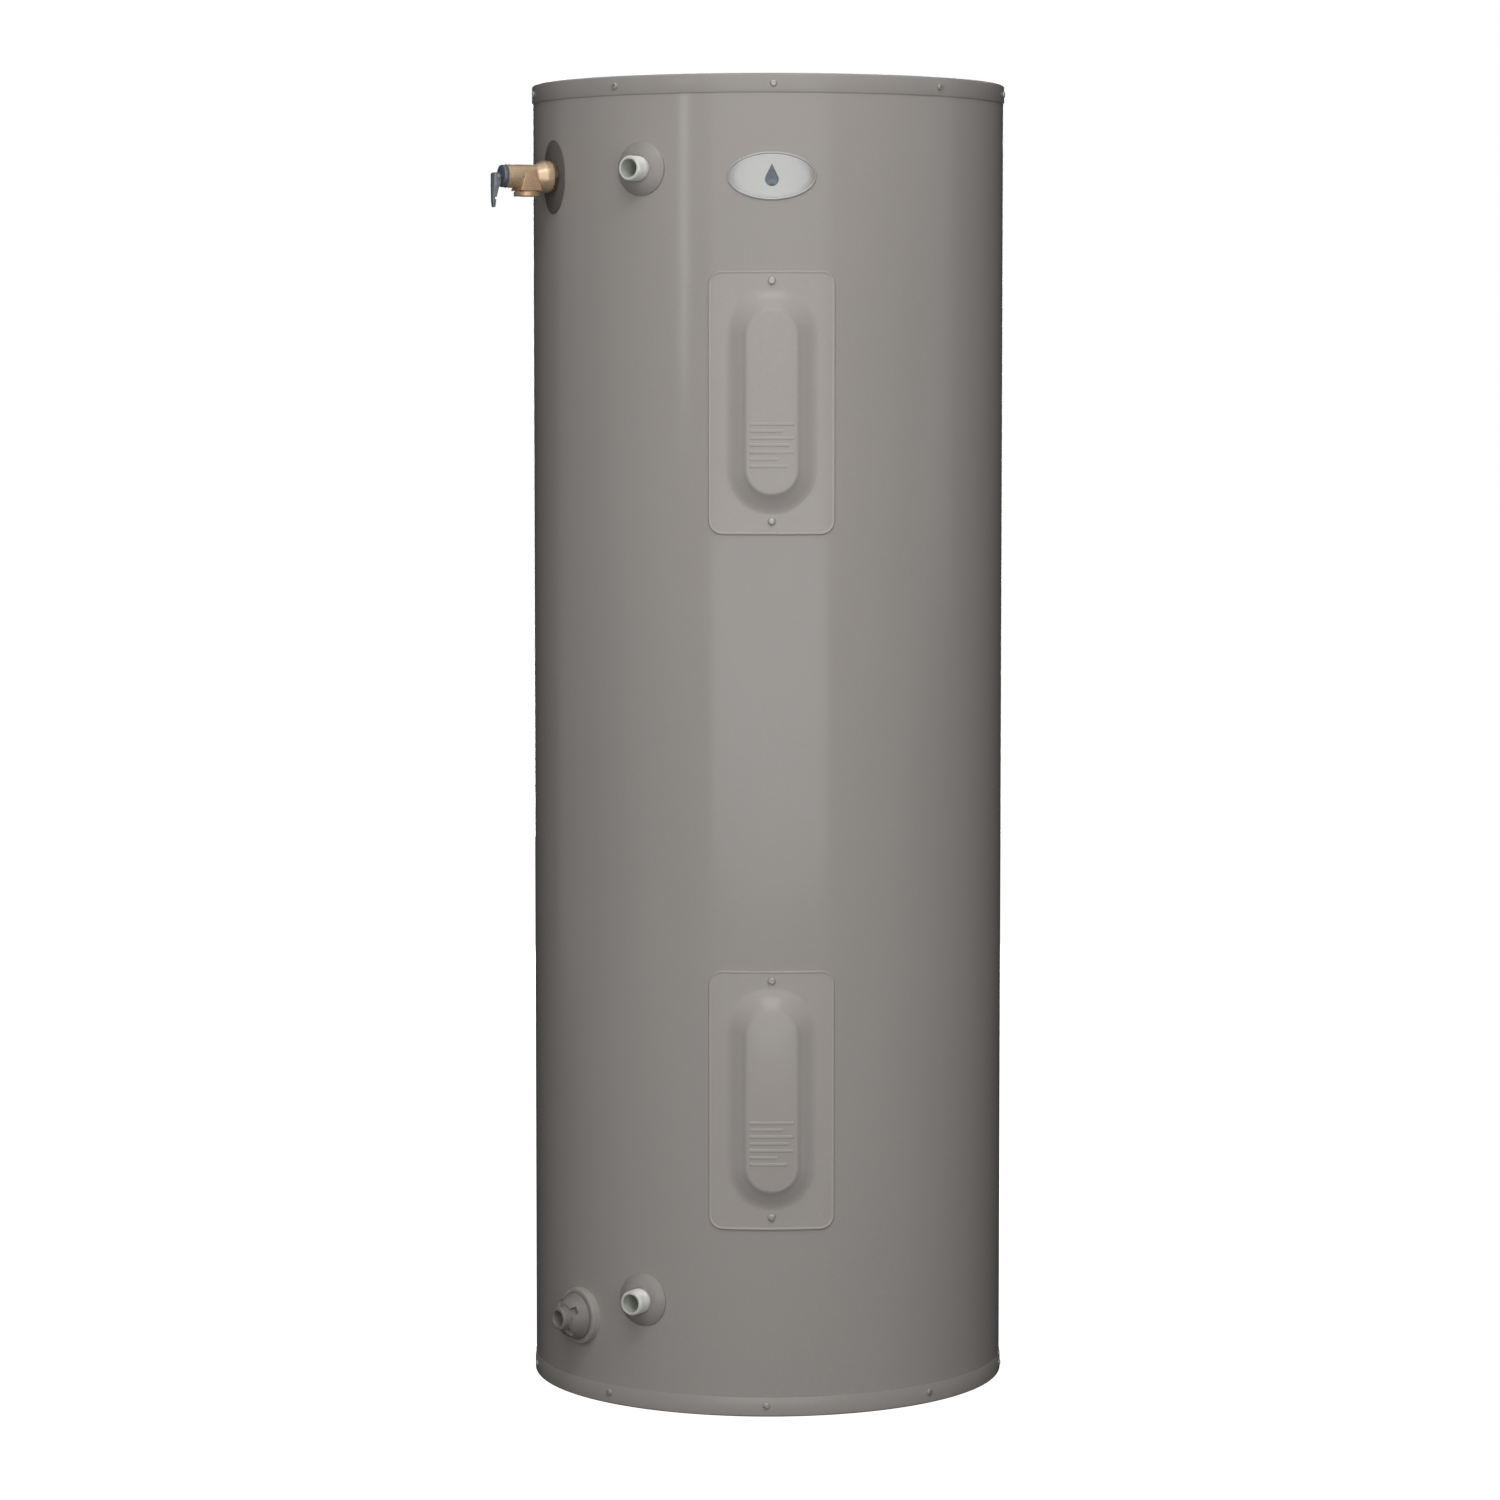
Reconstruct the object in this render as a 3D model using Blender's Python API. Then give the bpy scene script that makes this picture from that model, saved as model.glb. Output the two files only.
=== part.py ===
"""Tank water heater: a tall electric storage heater with side water connections.

Metres, +Z up, origin at the centre of the base on the floor. The two access panels face -Y.
Azimuths are in degrees from the front, positive towards +X. A fitting on the jacket is modelled
in its own frame: +Z points straight out of the jacket, +Y points up, and z = 0 is the jacket.
"""

import math

import bmesh
import bpy
from mathutils import Matrix, Vector

# Overall sizes
HEIGHT = 1.425
DIAMETER = 0.520
SHEET = 0.0008  # jacket, cap, base and panel steel
FIT = 0.0003  # gap between pieces that touch
ROUND_SEGMENTS = 48

# Cap and base
CAP_LIP = 0.020
BASE_LIP = 0.021
BASE_SHEET = 0.0012
CAP_RECESS = 0.006
CAP_RIDGE = 0.010
EDGE_ROUND = 0.0025
LIP_RADIUS = DIAMETER / 2
JACKET_RADIUS = LIP_RADIUS - SHEET - FIT
JACKET_BORE = JACKET_RADIUS - SHEET
FLOOR_TOP = BASE_SHEET + FIT
CAP_UNDERSIDE = HEIGHT - CAP_RECESS - SHEET

# Pressure vessel
TANK_RADIUS = 0.220
TANK_WALL = 0.0025
TANK_SHOULDER = 1.353
TANK_HEAD_RISE = 0.045
TANK_FLOOR = 0.055
SHANK_REACH = 0.004  # how far a fitting's shank stands inside the tank wall
BOSS_HEIGHT = 0.0065
BOSS_RADIUS = 0.0215
HEAD_STEPS = 3
ANODE_PLACE = (0.090, 0.0)
ANODE_RADIUS = 0.0105
ANODE_LENGTH = 1.05
HEX_RADIUS = 0.0155

# Access panels
PANEL_WIDTH = 0.1355
PANEL_HEIGHT = 0.2775
PANEL_CORNER = 0.015
PANEL_HEM = 0.0016
PANEL_HEM_RISE = 0.0006
UPPER_PANEL_Z = 1.080
LOWER_PANEL_Z = 0.340
PANEL_LAP = (0.0115, 0.0220)  # how far a panel covers the jacket beside and above its opening
PILL_WIDTH = 0.055
PILL_MARGIN = 0.04025  # from a panel's upper and lower edges
PILL_SKIRT = 0.0178
PILL_RISE = 0.012
PILL_OFFSET = (0.0, 0.001)
PANEL_SCREW_INSET = (0.0106, 0.0142)  # from a panel's top edge and from its bottom edge
BEND_STEP = 0.0150

# Screws
SCREW_SHANK = 0.0018
SCREW_HOLE = SCREW_SHANK + FIT
PANEL_SCREW_HEAD = 0.0042
PANEL_SCREW_LENGTH = 0.008
RIM_SCREW_HEAD = 0.00365
RIM_SCREW_LENGTH = 0.007
CAP_SCREW_DROP = 0.0107
BASE_SCREW_RISE = 0.0124
CAP_SCREW_AZIMUTHS = (-39.5, 0.4, 43.7)
BASE_SCREW_AZIMUTHS = (-42.0, -1.2, 41.3)

# Water connections
PIPE_RADIUS = 0.01334
PIPE_BORE = 0.0095
NIPPLE_REACH = 0.025
CONNECTION_AZIMUTH = -32.0
HOT_Z = 1.3265
COLD_Z = 0.119
ESCUTCHEON_RADIUS = 0.0285
ESCUTCHEON_RISE = 0.007

# Relief valve
RELIEF_AZIMUTH = -64.0
RELIEF_Z = 1.322
RELIEF_OVAL = (0.054, 0.079)
RELIEF_HEX = 0.0185
RELIEF_DOME_RADIUS = 0.01735
RELIEF_BARREL_RADIUS = 0.01275
RELIEF_NECK_END = 0.0055
RELIEF_DOME_END = 0.0245
RELIEF_BARREL_END = 0.0574
RELIEF_CAP = 0.0048
RELIEF_CHAMBER = 0.0095
RELIEF_SEAT = 0.0100
RELIEF_OUTLET = 0.0320  # along the valve
RELIEF_OUTLET_DROP = 0.0215
RELIEF_OUTLET_RADIUS = 0.0140
RELIEF_SOCKET = 0.0105
RELIEF_SOCKET_DEPTH = 0.0105
RELIEF_INLET = 0.0070
RELIEF_STEM_RADIUS = 0.0020
LEVER_LENGTH = 0.0373
LEVER_WIDTH = 0.0100
LEVER_THICKNESS = 0.0020
LEVER_FRONT = 0.0048  # from the pin to the lever's outer face
LEVER_EAR = 0.0020
LEVER_CLEARANCE = 0.0004  # between the stem's eye and the lever as it swings
LEVER_PIN_STANDOFF = 0.0047
PIN_RADIUS = 0.00095
SPRING_RADIUS = 0.0062
SPRING_WIRE = 0.0009
SPRING_TURNS = 5

# Drain valve
DRAIN_AZIMUTH = -52.0
DRAIN_Z = 0.090
DRAIN_DRUM_RADIUS = 0.03075
DRAIN_DRUM_RISE = 0.008
DRAIN_CONE_RADIUS = 0.0262
DRAIN_NECK_RADIUS = 0.0165
DRAIN_SPOUT_RADIUS = 0.0125
DRAIN_BORE = 0.00875
DRAIN_SLEEVE_RADIUS = 0.0102
DRAIN_REACH = 0.033
DRAIN_SEAT_BORE = 0.006

# Badge
BADGE_SIZE = (0.0945, 0.0507)
BADGE_Z = 1.318
BADGE_RISE = 0.0022

# Controls
ELEMENT_INSET = 0.04175  # from the lower edge of the opening in the jacket
ELEMENT_HEX = 0.0220
ELEMENT_HEX_HEIGHT = 0.008
ELEMENT_PLUG_RADIUS = 0.0165
ELEMENT_ROD_RADIUS = 0.0042
ELEMENT_ROD_SPREAD = 0.0090
ELEMENT_ROD_REACH = 0.270
ELEMENT_BOSS_RADIUS = 0.026
GASKET_RADIUS = 0.0235
GASKET_HEIGHT = 0.0017
CONTROL_SIZE = (0.058, 0.078, 0.016)
LIMIT_SIZE = (0.058, 0.038, 0.016)
CONTROL_ABOVE_ELEMENT = 0.085
CONTROL_ROOM = 0.003  # free space in the foam round the controls
DIAL_RADIUS = 0.0105
DIAL_HEIGHT = 0.0040
DIAL_PLACE = (0.012, -0.018)
BUTTON_RADIUS = 0.0055
BUTTON_LENGTH = 0.0060
BUTTON_TRAVEL = 0.0015
BRACKET_SIZE = (0.072, 0.0010)
PAD_MARGIN = (0.00625, 0.00925)  # from the edges of the opening
PAD_THICKNESS = 0.0085
CABLE_RADIUS = 0.0045
CABLE_LINE = 0.2400  # distance of a cable's straight run from the tank's axis
CABLE_HOLE = CABLE_RADIUS + 0.001

# Junction box
JUNCTION_SIZE = (0.104, 0.056, 0.034)
JUNCTION_FLANGE = 0.008
JUNCTION_Y = -0.2030
CABLE_ENTRY_Y = -0.0190  # from the middle of the junction box
GROUND_X = 0.030
KNOCKOUT_RADIUS = 0.0111
KNOCKOUT_RISE = 0.0005
COVER_MARGIN = 0.006
COVER_SCREW_X = 0.056

MATERIALS = {
    "jacket_paint": ((0.30, 0.285, 0.268), 0.35, 0.0),
    "galvanised": ((0.55, 0.56, 0.57), 0.45, 1.0),
    "tank_steel": ((0.20, 0.23, 0.27), 0.60, 0.6),
    "foam": ((0.86, 0.80, 0.58), 0.90, 0.0),
    "fibre_pad": ((0.90, 0.84, 0.55), 0.95, 0.0),
    "magnesium": ((0.60, 0.60, 0.58), 0.55, 1.0),
    "plated_steel": ((0.75, 0.74, 0.71), 0.30, 1.0),
    "brass": ((0.62, 0.44, 0.24), 0.35, 1.0),
    "lever_steel": ((0.22, 0.24, 0.26), 0.40, 0.8),
    "dark_plastic": ((0.09, 0.085, 0.08), 0.55, 0.0),
    "grey_plastic": ((0.28, 0.27, 0.26), 0.50, 0.0),
    "black_phenolic": ((0.02, 0.02, 0.02), 0.45, 0.0),
    "red_plastic": ((0.60, 0.03, 0.02), 0.40, 0.0),
    "white_plastic": ((0.80, 0.80, 0.78), 0.45, 0.0),
    "rubber": ((0.03, 0.03, 0.03), 0.80, 0.0),
    "badge_silver": ((0.70, 0.70, 0.69), 0.25, 1.0),
    "screw_zinc": ((0.50, 0.49, 0.47), 0.35, 1.0),
    "green_screw": ((0.05, 0.35, 0.10), 0.40, 0.3),
    "cable_sheath": ((0.80, 0.74, 0.45), 0.60, 0.0),
    "incoloy": ((0.35, 0.36, 0.36), 0.45, 1.0),
}


# --- Frames and materials ---


def remove_everything():
    for obj in list(bpy.data.objects):
        bpy.data.objects.remove(obj, do_unlink=True)


def material(name):
    found = bpy.data.materials.get(name)
    if found:
        return found
    colour, roughness, metallic = MATERIALS[name]
    made = bpy.data.materials.new(name)
    made.use_nodes = True
    shader = made.node_tree.nodes["Principled BSDF"]
    shader.inputs["Base Color"].default_value = (*colour, 1.0)
    shader.inputs["Roughness"].default_value = roughness
    shader.inputs["Metallic"].default_value = metallic
    return made


def outward(azimuth, radius, z):
    """Frame at a place around the heater: +Z out, +Y up, +X along the surface."""
    a = math.radians(azimuth)
    across = Vector((math.cos(a), math.sin(a), 0.0))
    out = Vector((math.sin(a), -math.cos(a), 0.0))
    up = Vector((0.0, 0.0, 1.0))
    frame = Matrix((across, up, out)).transposed().to_4x4()
    frame.translation = out * radius + up * z
    return frame


def on_jacket(azimuth, z):
    return outward(azimuth, JACKET_RADIUS, z)


# --- Mesh helpers ---


def add_object(name, bm, material_name=None, frame=None):
    """Closes off a bmesh as an object whose origin is the frame's."""
    bmesh.ops.remove_doubles(bm, verts=bm.verts, dist=1e-6)
    bmesh.ops.recalc_face_normals(bm, faces=bm.faces)
    mesh = bpy.data.meshes.new(name)
    bm.to_mesh(mesh)
    bm.free()
    mesh.shade_smooth()
    mesh.set_sharp_from_angle(angle=math.radians(35))
    obj = bpy.data.objects.new(name, mesh)
    bpy.context.scene.collection.objects.link(obj)
    if material_name:
        mesh.materials.append(material(material_name))
    if frame is not None:
        obj.matrix_world = frame
    return obj


def add_tool(name, bm, frame=None):
    """An object that only cuts or joins others."""
    tool = add_object(name, bm, None, frame)
    tool.hide_render = True
    tool.display_type = "WIRE"
    return tool


def combine(obj, tool, operation="DIFFERENCE"):
    modifier = obj.modifiers.new(f"{operation} {tool.name}", "BOOLEAN")
    modifier.operation = operation
    modifier.object = tool


def turned(profile, segments, ring=False):
    """Spins (radius, height) points about +Z: an open line that ends on the axis, or a closed ring."""
    bm = bmesh.new()
    verts = [bm.verts.new((radius, 0.0, height)) for radius, height in profile]
    edges = [bm.edges.new(pair) for pair in zip(verts, verts[1:])]
    if ring:
        edges.append(bm.edges.new((verts[-1], verts[0])))
    bmesh.ops.spin(
        bm,
        geom=verts + edges,
        cent=(0, 0, 0),
        axis=(0, 0, 1),
        angle=math.tau,
        steps=segments,
        use_merge=True,
        use_duplicate=False,
    )
    return bm


def arc(centre, radius, start, end, steps):
    """Points on an arc in the (radius, height) plane, angles in degrees."""
    angles = [start + (end - start) * i / steps for i in range(steps + 1)]
    return [
        (centre[0] + radius * math.cos(math.radians(a)), centre[1] + radius * math.sin(math.radians(a)))
        for a in angles
    ]


def rounded_outline(width, height, corner, steps):
    """Outline of a rectangle with round corners, about the origin."""
    x, y = width / 2 - corner, height / 2 - corner
    return (
        arc((x, y), corner, 0, 90, steps)
        + arc((-x, y), corner, 90, 180, steps)
        + arc((-x, -y), corner, 180, 270, steps)
        + arc((x, -y), corner, 270, 360, steps)
    )


def oval_outline(width, height, steps):
    return [
        (width / 2 * math.cos(math.tau * i / steps), height / 2 * math.sin(math.tau * i / steps))
        for i in range(steps)
    ]


def circle_outline(radius, steps, centre=(0.0, 0.0)):
    return [(x + centre[0], y + centre[1]) for x, y in oval_outline(2 * radius, 2 * radius, steps)]


def lofted(loops, ring=False):
    """Joins loops of equal length, given as (outline, height); the ends are filled unless they meet."""
    bm = bmesh.new()
    made = [[bm.verts.new((x, y, height)) for x, y in outline] for outline, height in loops]
    pairs = list(zip(made, made[1:]))
    if ring:
        pairs.append((made[-1], made[0]))
    for first, second in pairs:
        for i in range(len(first)):
            bm.faces.new((first[i - 1], first[i], second[i], second[i - 1]))
    if not ring:
        bm.faces.new(made[0])
        bm.faces.new(made[-1])
    return bm


def prism(outline, bottom, top):
    """An outline extruded along +Z."""
    return lofted([(outline, bottom), (outline, top)])


def block(low, high):
    """A box between two corners."""
    bm = bmesh.new()
    size = [b - a for a, b in zip(low, high)]
    centre = [(a + b) / 2 for a, b in zip(low, high)]
    place = Matrix.Translation(centre) @ Matrix.Diagonal((*size, 1.0))
    bmesh.ops.create_cube(bm, size=1.0, matrix=place)
    return bm


def merged(*parts):
    """Several closed shapes in one bmesh, for a tool that cuts in more places than one."""
    bm = bmesh.new()
    for frame, part in parts:
        part.transform(frame)
        mesh = bpy.data.meshes.new("piece")
        part.to_mesh(mesh)
        part.free()
        bm.from_mesh(mesh)
        bpy.data.meshes.remove(mesh)
    return bm


def bent(bm, radius):
    """Bends a flat shape, modelled around z = 0, on to a cylinder about the vertical axis."""
    reach = max(abs(v.co.x) for v in bm.verts)
    cuts = math.floor(reach / BEND_STEP)
    for i in range(-cuts, cuts + 1):
        geom = bm.verts[:] + bm.edges[:] + bm.faces[:]
        bmesh.ops.bisect_plane(bm, geom=geom, dist=1e-6, plane_co=(i * BEND_STEP, 0, 0), plane_no=(1, 0, 0))
    for v in bm.verts:
        angle, out = v.co.x / radius, radius + v.co.z
        v.co = (out * math.sin(angle), v.co.y, out * math.cos(angle) - radius)
    return bm


def swept(points, radius, sides):
    """A round bar along a line of points, with flat ends."""
    bm = bmesh.new()
    points = [Vector(p) for p in points]
    ahead = [(b - a).normalized() for a, b in zip(points, points[1:])]
    tangents = [ahead[0]] + [(a + b).normalized() for a, b in zip(ahead, ahead[1:])] + [ahead[-1]]
    side = tangents[0].orthogonal().normalized()
    loops = []
    for point, tangent in zip(points, tangents):
        side = (side - tangent * side.dot(tangent)).normalized()
        other = tangent.cross(side)
        turn = [math.tau * i / sides for i in range(sides)]
        spokes = [side * math.cos(t) + other * math.sin(t) for t in turn]
        loops.append([bm.verts.new(point + radius * spoke) for spoke in spokes])
    for first, second in zip(loops, loops[1:]):
        for i in range(sides):
            bm.faces.new((first[i - 1], first[i], second[i], second[i - 1]))
    bm.faces.new(loops[0])
    bm.faces.new(loops[-1])
    return bm


def smooth_line(points, steps):
    """Points on a smooth curve through the given ones."""
    points = [Vector(p) for p in points]
    padded = [2 * points[0] - points[1]] + points + [2 * points[-1] - points[-2]]
    line = []
    for before, start, end, after in zip(padded, padded[1:], padded[2:], padded[3:]):
        for i in range(steps):
            t = i / steps
            line.append(
                0.5
                * (
                    2 * start
                    + (end - before) * t
                    + (2 * before - 5 * start + 4 * end - after) * t**2
                    + (3 * start - before - 3 * end + after) * t**3
                )
            )
    return line + [points[-1]]


# --- Casing ---


def rim_screw_places():
    cap = [outward(a, LIP_RADIUS, HEIGHT - CAP_SCREW_DROP) for a in CAP_SCREW_AZIMUTHS]
    base = [outward(a, LIP_RADIUS, BASE_SCREW_RISE) for a in BASE_SCREW_AZIMUTHS]
    return cap, base


def rim_screw_tool():
    """Clearance holes through the lips, the jacket and the edge of the foam."""
    cap, base = rim_screw_places()
    depth = RIM_SCREW_LENGTH + 2 * FIT
    holes = [(place, prism(circle_outline(SCREW_HOLE, 8), -depth, 0.003)) for place in cap + base]
    return add_tool("rim_screw_tool", merged(*holes))


def panel_screw_heights(panel_z):
    top, bottom = PANEL_SCREW_INSET
    return panel_z + PANEL_HEIGHT / 2 - top, panel_z - PANEL_HEIGHT / 2 + bottom


def panel_screw_tool():
    """Clearance holes through the panels, the jacket and the edge of the foam."""
    holes = []
    for panel_z in (UPPER_PANEL_Z, LOWER_PANEL_Z):
        for z in panel_screw_heights(panel_z):
            bore = prism(circle_outline(SCREW_HOLE, 8), -PANEL_SCREW_LENGTH - 2 * FIT, 0.006)
            holes.append((on_jacket(0, z), bore))
    return add_tool("panel_screw_tool", merged(*holes))


def fitting_tool(name, radius, inner, outer):
    """Round holes for the two connections, the relief valve and the drain valve."""
    places = (
        (CONNECTION_AZIMUTH, HOT_Z),
        (CONNECTION_AZIMUTH, COLD_Z),
        (RELIEF_AZIMUTH, RELIEF_Z),
        (DRAIN_AZIMUTH, DRAIN_Z),
    )
    holes = [(outward(a, 0, z), prism(circle_outline(radius, 20), inner, outer)) for a, z in places]
    return add_tool(name, merged(*holes))


def opening_size():
    return PANEL_WIDTH - 2 * PANEL_LAP[0], PANEL_HEIGHT - 2 * PANEL_LAP[1]


def element_z(panel_z):
    return panel_z - opening_size()[1] / 2 + ELEMENT_INSET


def control_z(panel_z):
    return element_z(panel_z) + CONTROL_ABOVE_ELEMENT


def limit_z(panel_z):
    """Centre of the high-limit control, or of its room, on top of a thermostat."""
    return control_z(panel_z) + (CONTROL_SIZE[1] + LIMIT_SIZE[1]) / 2 + 2 * FIT


def opening_tool():
    """The two openings behind the access panels, cut straight in from the front."""
    width, height = opening_size()
    outline = rounded_outline(width, height, 0.010, 3)
    cuts = []
    for z in (UPPER_PANEL_Z, LOWER_PANEL_Z):
        cuts.append((outward(0, 0, z), prism(outline, TANK_RADIUS * 0.9, LIP_RADIUS * 1.1)))
    return add_tool("opening_tool", merged(*cuts))


def control_room_tool():
    """Room in the foam for the element and the controls, however small the opening is."""
    half = BRACKET_SIZE[0] / 2 + CONTROL_ROOM
    rooms = []
    for panel_z in (UPPER_PANEL_Z, LOWER_PANEL_Z):
        bottom = element_z(panel_z) - ELEMENT_BOSS_RADIUS - CONTROL_ROOM
        top = limit_z(panel_z) + LIMIT_SIZE[1] / 2 + CONTROL_ROOM
        room = block((-half, -LIP_RADIUS, bottom), (half, -TANK_RADIUS * 0.9, top))
        rooms.append((Matrix.Identity(4), room))
    return add_tool("control_room_tool", merged(*rooms))


def base_pan():
    r, t = LIP_RADIUS, BASE_SHEET
    profile = [(0, 0)]
    profile += arc((r - EDGE_ROUND, EDGE_ROUND), EDGE_ROUND, -90, 0, 2)
    profile += [(r, BASE_LIP), (r - SHEET, BASE_LIP), (r - SHEET, t), (0, t)]
    return add_object("base_pan", turned(profile, ROUND_SEGMENTS), "jacket_paint")


def top_cap():
    """A lipped disc with a raised ridge round its edge."""
    r, top, low = LIP_RADIUS, HEIGHT, HEIGHT - CAP_RECESS
    inner = r - CAP_RIDGE
    profile = [(0, low), (inner - CAP_RECESS, low), (inner, top)]
    profile += arc((r - EDGE_ROUND, top - EDGE_ROUND), EDGE_ROUND, 90, 0, 2)
    profile += [(r, top - CAP_LIP), (r - SHEET, top - CAP_LIP), (r - SHEET, top - EDGE_ROUND)]
    profile += [(r - EDGE_ROUND, top - SHEET), (inner + SHEET / 2, top - SHEET)]
    profile += [(inner - CAP_RECESS + SHEET / 2, low - SHEET), (0, low - SHEET)]
    return add_object("top_cap", turned(profile, ROUND_SEGMENTS), "jacket_paint")


def jacket():
    bottom, top = FLOOR_TOP, HEIGHT - EDGE_ROUND - SHEET
    profile = [(JACKET_BORE, bottom), (JACKET_RADIUS, bottom), (JACKET_RADIUS, top), (JACKET_BORE, top)]
    return add_object("jacket", turned(profile, ROUND_SEGMENTS, ring=True), "jacket_paint")


def tank_dome(radius, base, rise):
    """(radius, height) points down a shallow dome, from its middle to its edge."""
    radii = [radius * i / HEAD_STEPS for i in range(HEAD_STEPS + 1)]
    return [(r, base + rise * (1 - (r / radius) ** 2)) for r in radii]


def foam_insulation():
    top = CAP_UNDERSIDE - FIT
    outer, inner = JACKET_BORE - FIT, TANK_RADIUS + FIT
    dome = tank_dome(TANK_RADIUS, TANK_SHOULDER + FIT, TANK_HEAD_RISE)
    profile = dome + [(inner, TANK_SHOULDER), (inner, FLOOR_TOP), (outer, FLOOR_TOP)]
    profile += [(outer, top), (0, top)]
    return add_object("foam_insulation", turned(profile, ROUND_SEGMENTS), "foam")


# --- Pressure vessel ---


def tank_shell():
    inner = TANK_RADIUS - TANK_WALL
    profile = [(inner, FLOOR_TOP), (TANK_RADIUS, FLOOR_TOP), (TANK_RADIUS, TANK_SHOULDER - TANK_WALL)]
    profile += [(inner, TANK_SHOULDER - TANK_WALL)]
    shell = add_object("tank_shell", turned(profile, ROUND_SEGMENTS, ring=True), "tank_steel")
    bosses = []
    sizes = (
        (CONNECTION_AZIMUTH, HOT_Z, BOSS_RADIUS),
        (CONNECTION_AZIMUTH, COLD_Z, BOSS_RADIUS),
        (RELIEF_AZIMUTH, RELIEF_Z, BOSS_RADIUS),
        (DRAIN_AZIMUTH, DRAIN_Z, BOSS_RADIUS),
        (0, element_z(UPPER_PANEL_Z), ELEMENT_BOSS_RADIUS),
        (0, element_z(LOWER_PANEL_Z), ELEMENT_BOSS_RADIUS),
    )
    root = TANK_RADIUS - TANK_WALL * 1.2
    for azimuth, z, radius in sizes:
        boss = prism(circle_outline(radius, 14), root, TANK_RADIUS + BOSS_HEIGHT)
        bosses.append((outward(azimuth, 0, z), boss))
    combine(shell, add_tool("boss_tool", merged(*bosses)), "UNION")
    combine(shell, fitting_tool("tapping_tool", PIPE_RADIUS + FIT, TANK_RADIUS * 0.9, TANK_RADIUS * 1.1))
    plugs = []
    for z in (element_z(UPPER_PANEL_Z), element_z(LOWER_PANEL_Z)):
        bore = prism(circle_outline(ELEMENT_PLUG_RADIUS + FIT, 20), TANK_RADIUS * 0.9, TANK_RADIUS * 1.1)
        plugs.append((outward(0, 0, z), bore))
    combine(shell, add_tool("element_tool", merged(*plugs)))
    return shell


def anode_seat():
    """Height of the flat face that the anode's head sits on."""
    r = math.hypot(*ANODE_PLACE)
    return TANK_SHOULDER + TANK_HEAD_RISE * (1 - (r / TANK_RADIUS) ** 2) + 0.003


def tank_top_head():
    """Upper dome, with a short skirt and the boss that the anode screws into."""
    shoulder = TANK_SHOULDER - TANK_WALL + FIT
    outer = tank_dome(TANK_RADIUS, TANK_SHOULDER, TANK_HEAD_RISE)
    inner = tank_dome(TANK_RADIUS - TANK_WALL, TANK_SHOULDER - TANK_WALL, TANK_HEAD_RISE)
    profile = outer + [(TANK_RADIUS, shoulder), (TANK_RADIUS - TANK_WALL, shoulder)] + inner[::-1][1:]
    head = add_object("tank_top_head", turned(profile, ROUND_SEGMENTS), "tank_steel")
    place = Matrix.Translation((*ANODE_PLACE, 0))
    seat = anode_seat()
    boss = prism(circle_outline(HEX_RADIUS + 0.002, 16), seat - 0.009, seat)
    bore = prism(circle_outline(ANODE_RADIUS + FIT, 16), seat - 0.030, seat + 0.010)
    combine(head, add_tool("anode_boss_tool", boss, place), "UNION")
    combine(head, add_tool("anode_bore_tool", bore, place))
    return head


def tank_bottom_head():
    """Lower dome, arched upwards inside the shell."""
    radius = TANK_RADIUS - TANK_WALL - FIT
    outer = tank_dome(radius, TANK_FLOOR, TANK_HEAD_RISE)
    inner = tank_dome(radius - TANK_WALL, TANK_FLOOR - TANK_WALL, TANK_HEAD_RISE)
    skirt = TANK_FLOOR - 0.020
    profile = outer + [(radius, skirt), (radius - TANK_WALL, skirt)] + inner[::-1]
    return add_object("tank_bottom_head", turned(profile, ROUND_SEGMENTS), "tank_steel")


def anode_rod():
    seat = anode_seat() + FIT
    profile = [(0, seat - ANODE_LENGTH), (ANODE_RADIUS, seat - ANODE_LENGTH), (ANODE_RADIUS, seat), (0, seat)]
    place = Matrix.Translation((*ANODE_PLACE, 0))
    rod = add_object("anode_rod", turned(profile, 16), "magnesium", place)
    head = prism(circle_outline(HEX_RADIUS, 6), seat - 0.0001, seat + 0.008)
    combine(rod, add_tool("anode_head_tool", head, place), "UNION")
    return rod


# --- Water connections ---


def shank_end():
    """Where a fitting's shank ends inside the tank, measured from the jacket."""
    return TANK_RADIUS - TANK_WALL - SHANK_REACH - JACKET_RADIUS


def nipple(name, z):
    inner, outer = shank_end(), NIPPLE_REACH
    chamfer = 0.0012
    profile = [(PIPE_BORE, inner), (PIPE_RADIUS, inner), (PIPE_RADIUS, outer - chamfer)]
    profile += [(PIPE_RADIUS - chamfer, outer), (PIPE_BORE, outer)]
    return add_object(name, turned(profile, 20, ring=True), "plated_steel", on_jacket(CONNECTION_AZIMUTH, z))


def domed_ring(radius, bore, rise):
    """Closed (radius, height) outline of a shallow dome with a hole in its middle."""
    edge = 0.0012
    base = FIT
    points = [(bore, base), (radius, base), (radius, base + edge)]
    shoulders = 3
    for i in range(1, shoulders + 1):
        r = radius + (bore - radius) * i / shoulders
        points.append((r, base + edge + (rise - edge) * math.sin(math.pi / 2 * i / shoulders)))
    return points


def escutcheon(name, z):
    profile = domed_ring(ESCUTCHEON_RADIUS, PIPE_RADIUS + FIT, ESCUTCHEON_RISE)
    return add_object(name, turned(profile, 20, ring=True), "grey_plastic", on_jacket(CONNECTION_AZIMUTH, z))


# --- Relief valve ---


def relief_place():
    return on_jacket(RELIEF_AZIMUTH, RELIEF_Z)


def relief_escutcheon():
    """Oval plate that closes the jacket round the valve's neck."""
    outer, hole = oval_outline(*RELIEF_OVAL, 24), circle_outline(PIPE_RADIUS + FIT, 24)
    low, high = FIT, FIT + SHEET
    bm = lofted([(outer, low), (outer, high), (hole, high), (hole, low)], ring=True)
    return add_object("relief_escutcheon", bent(bm, JACKET_RADIUS), "dark_plastic", relief_place())


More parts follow.
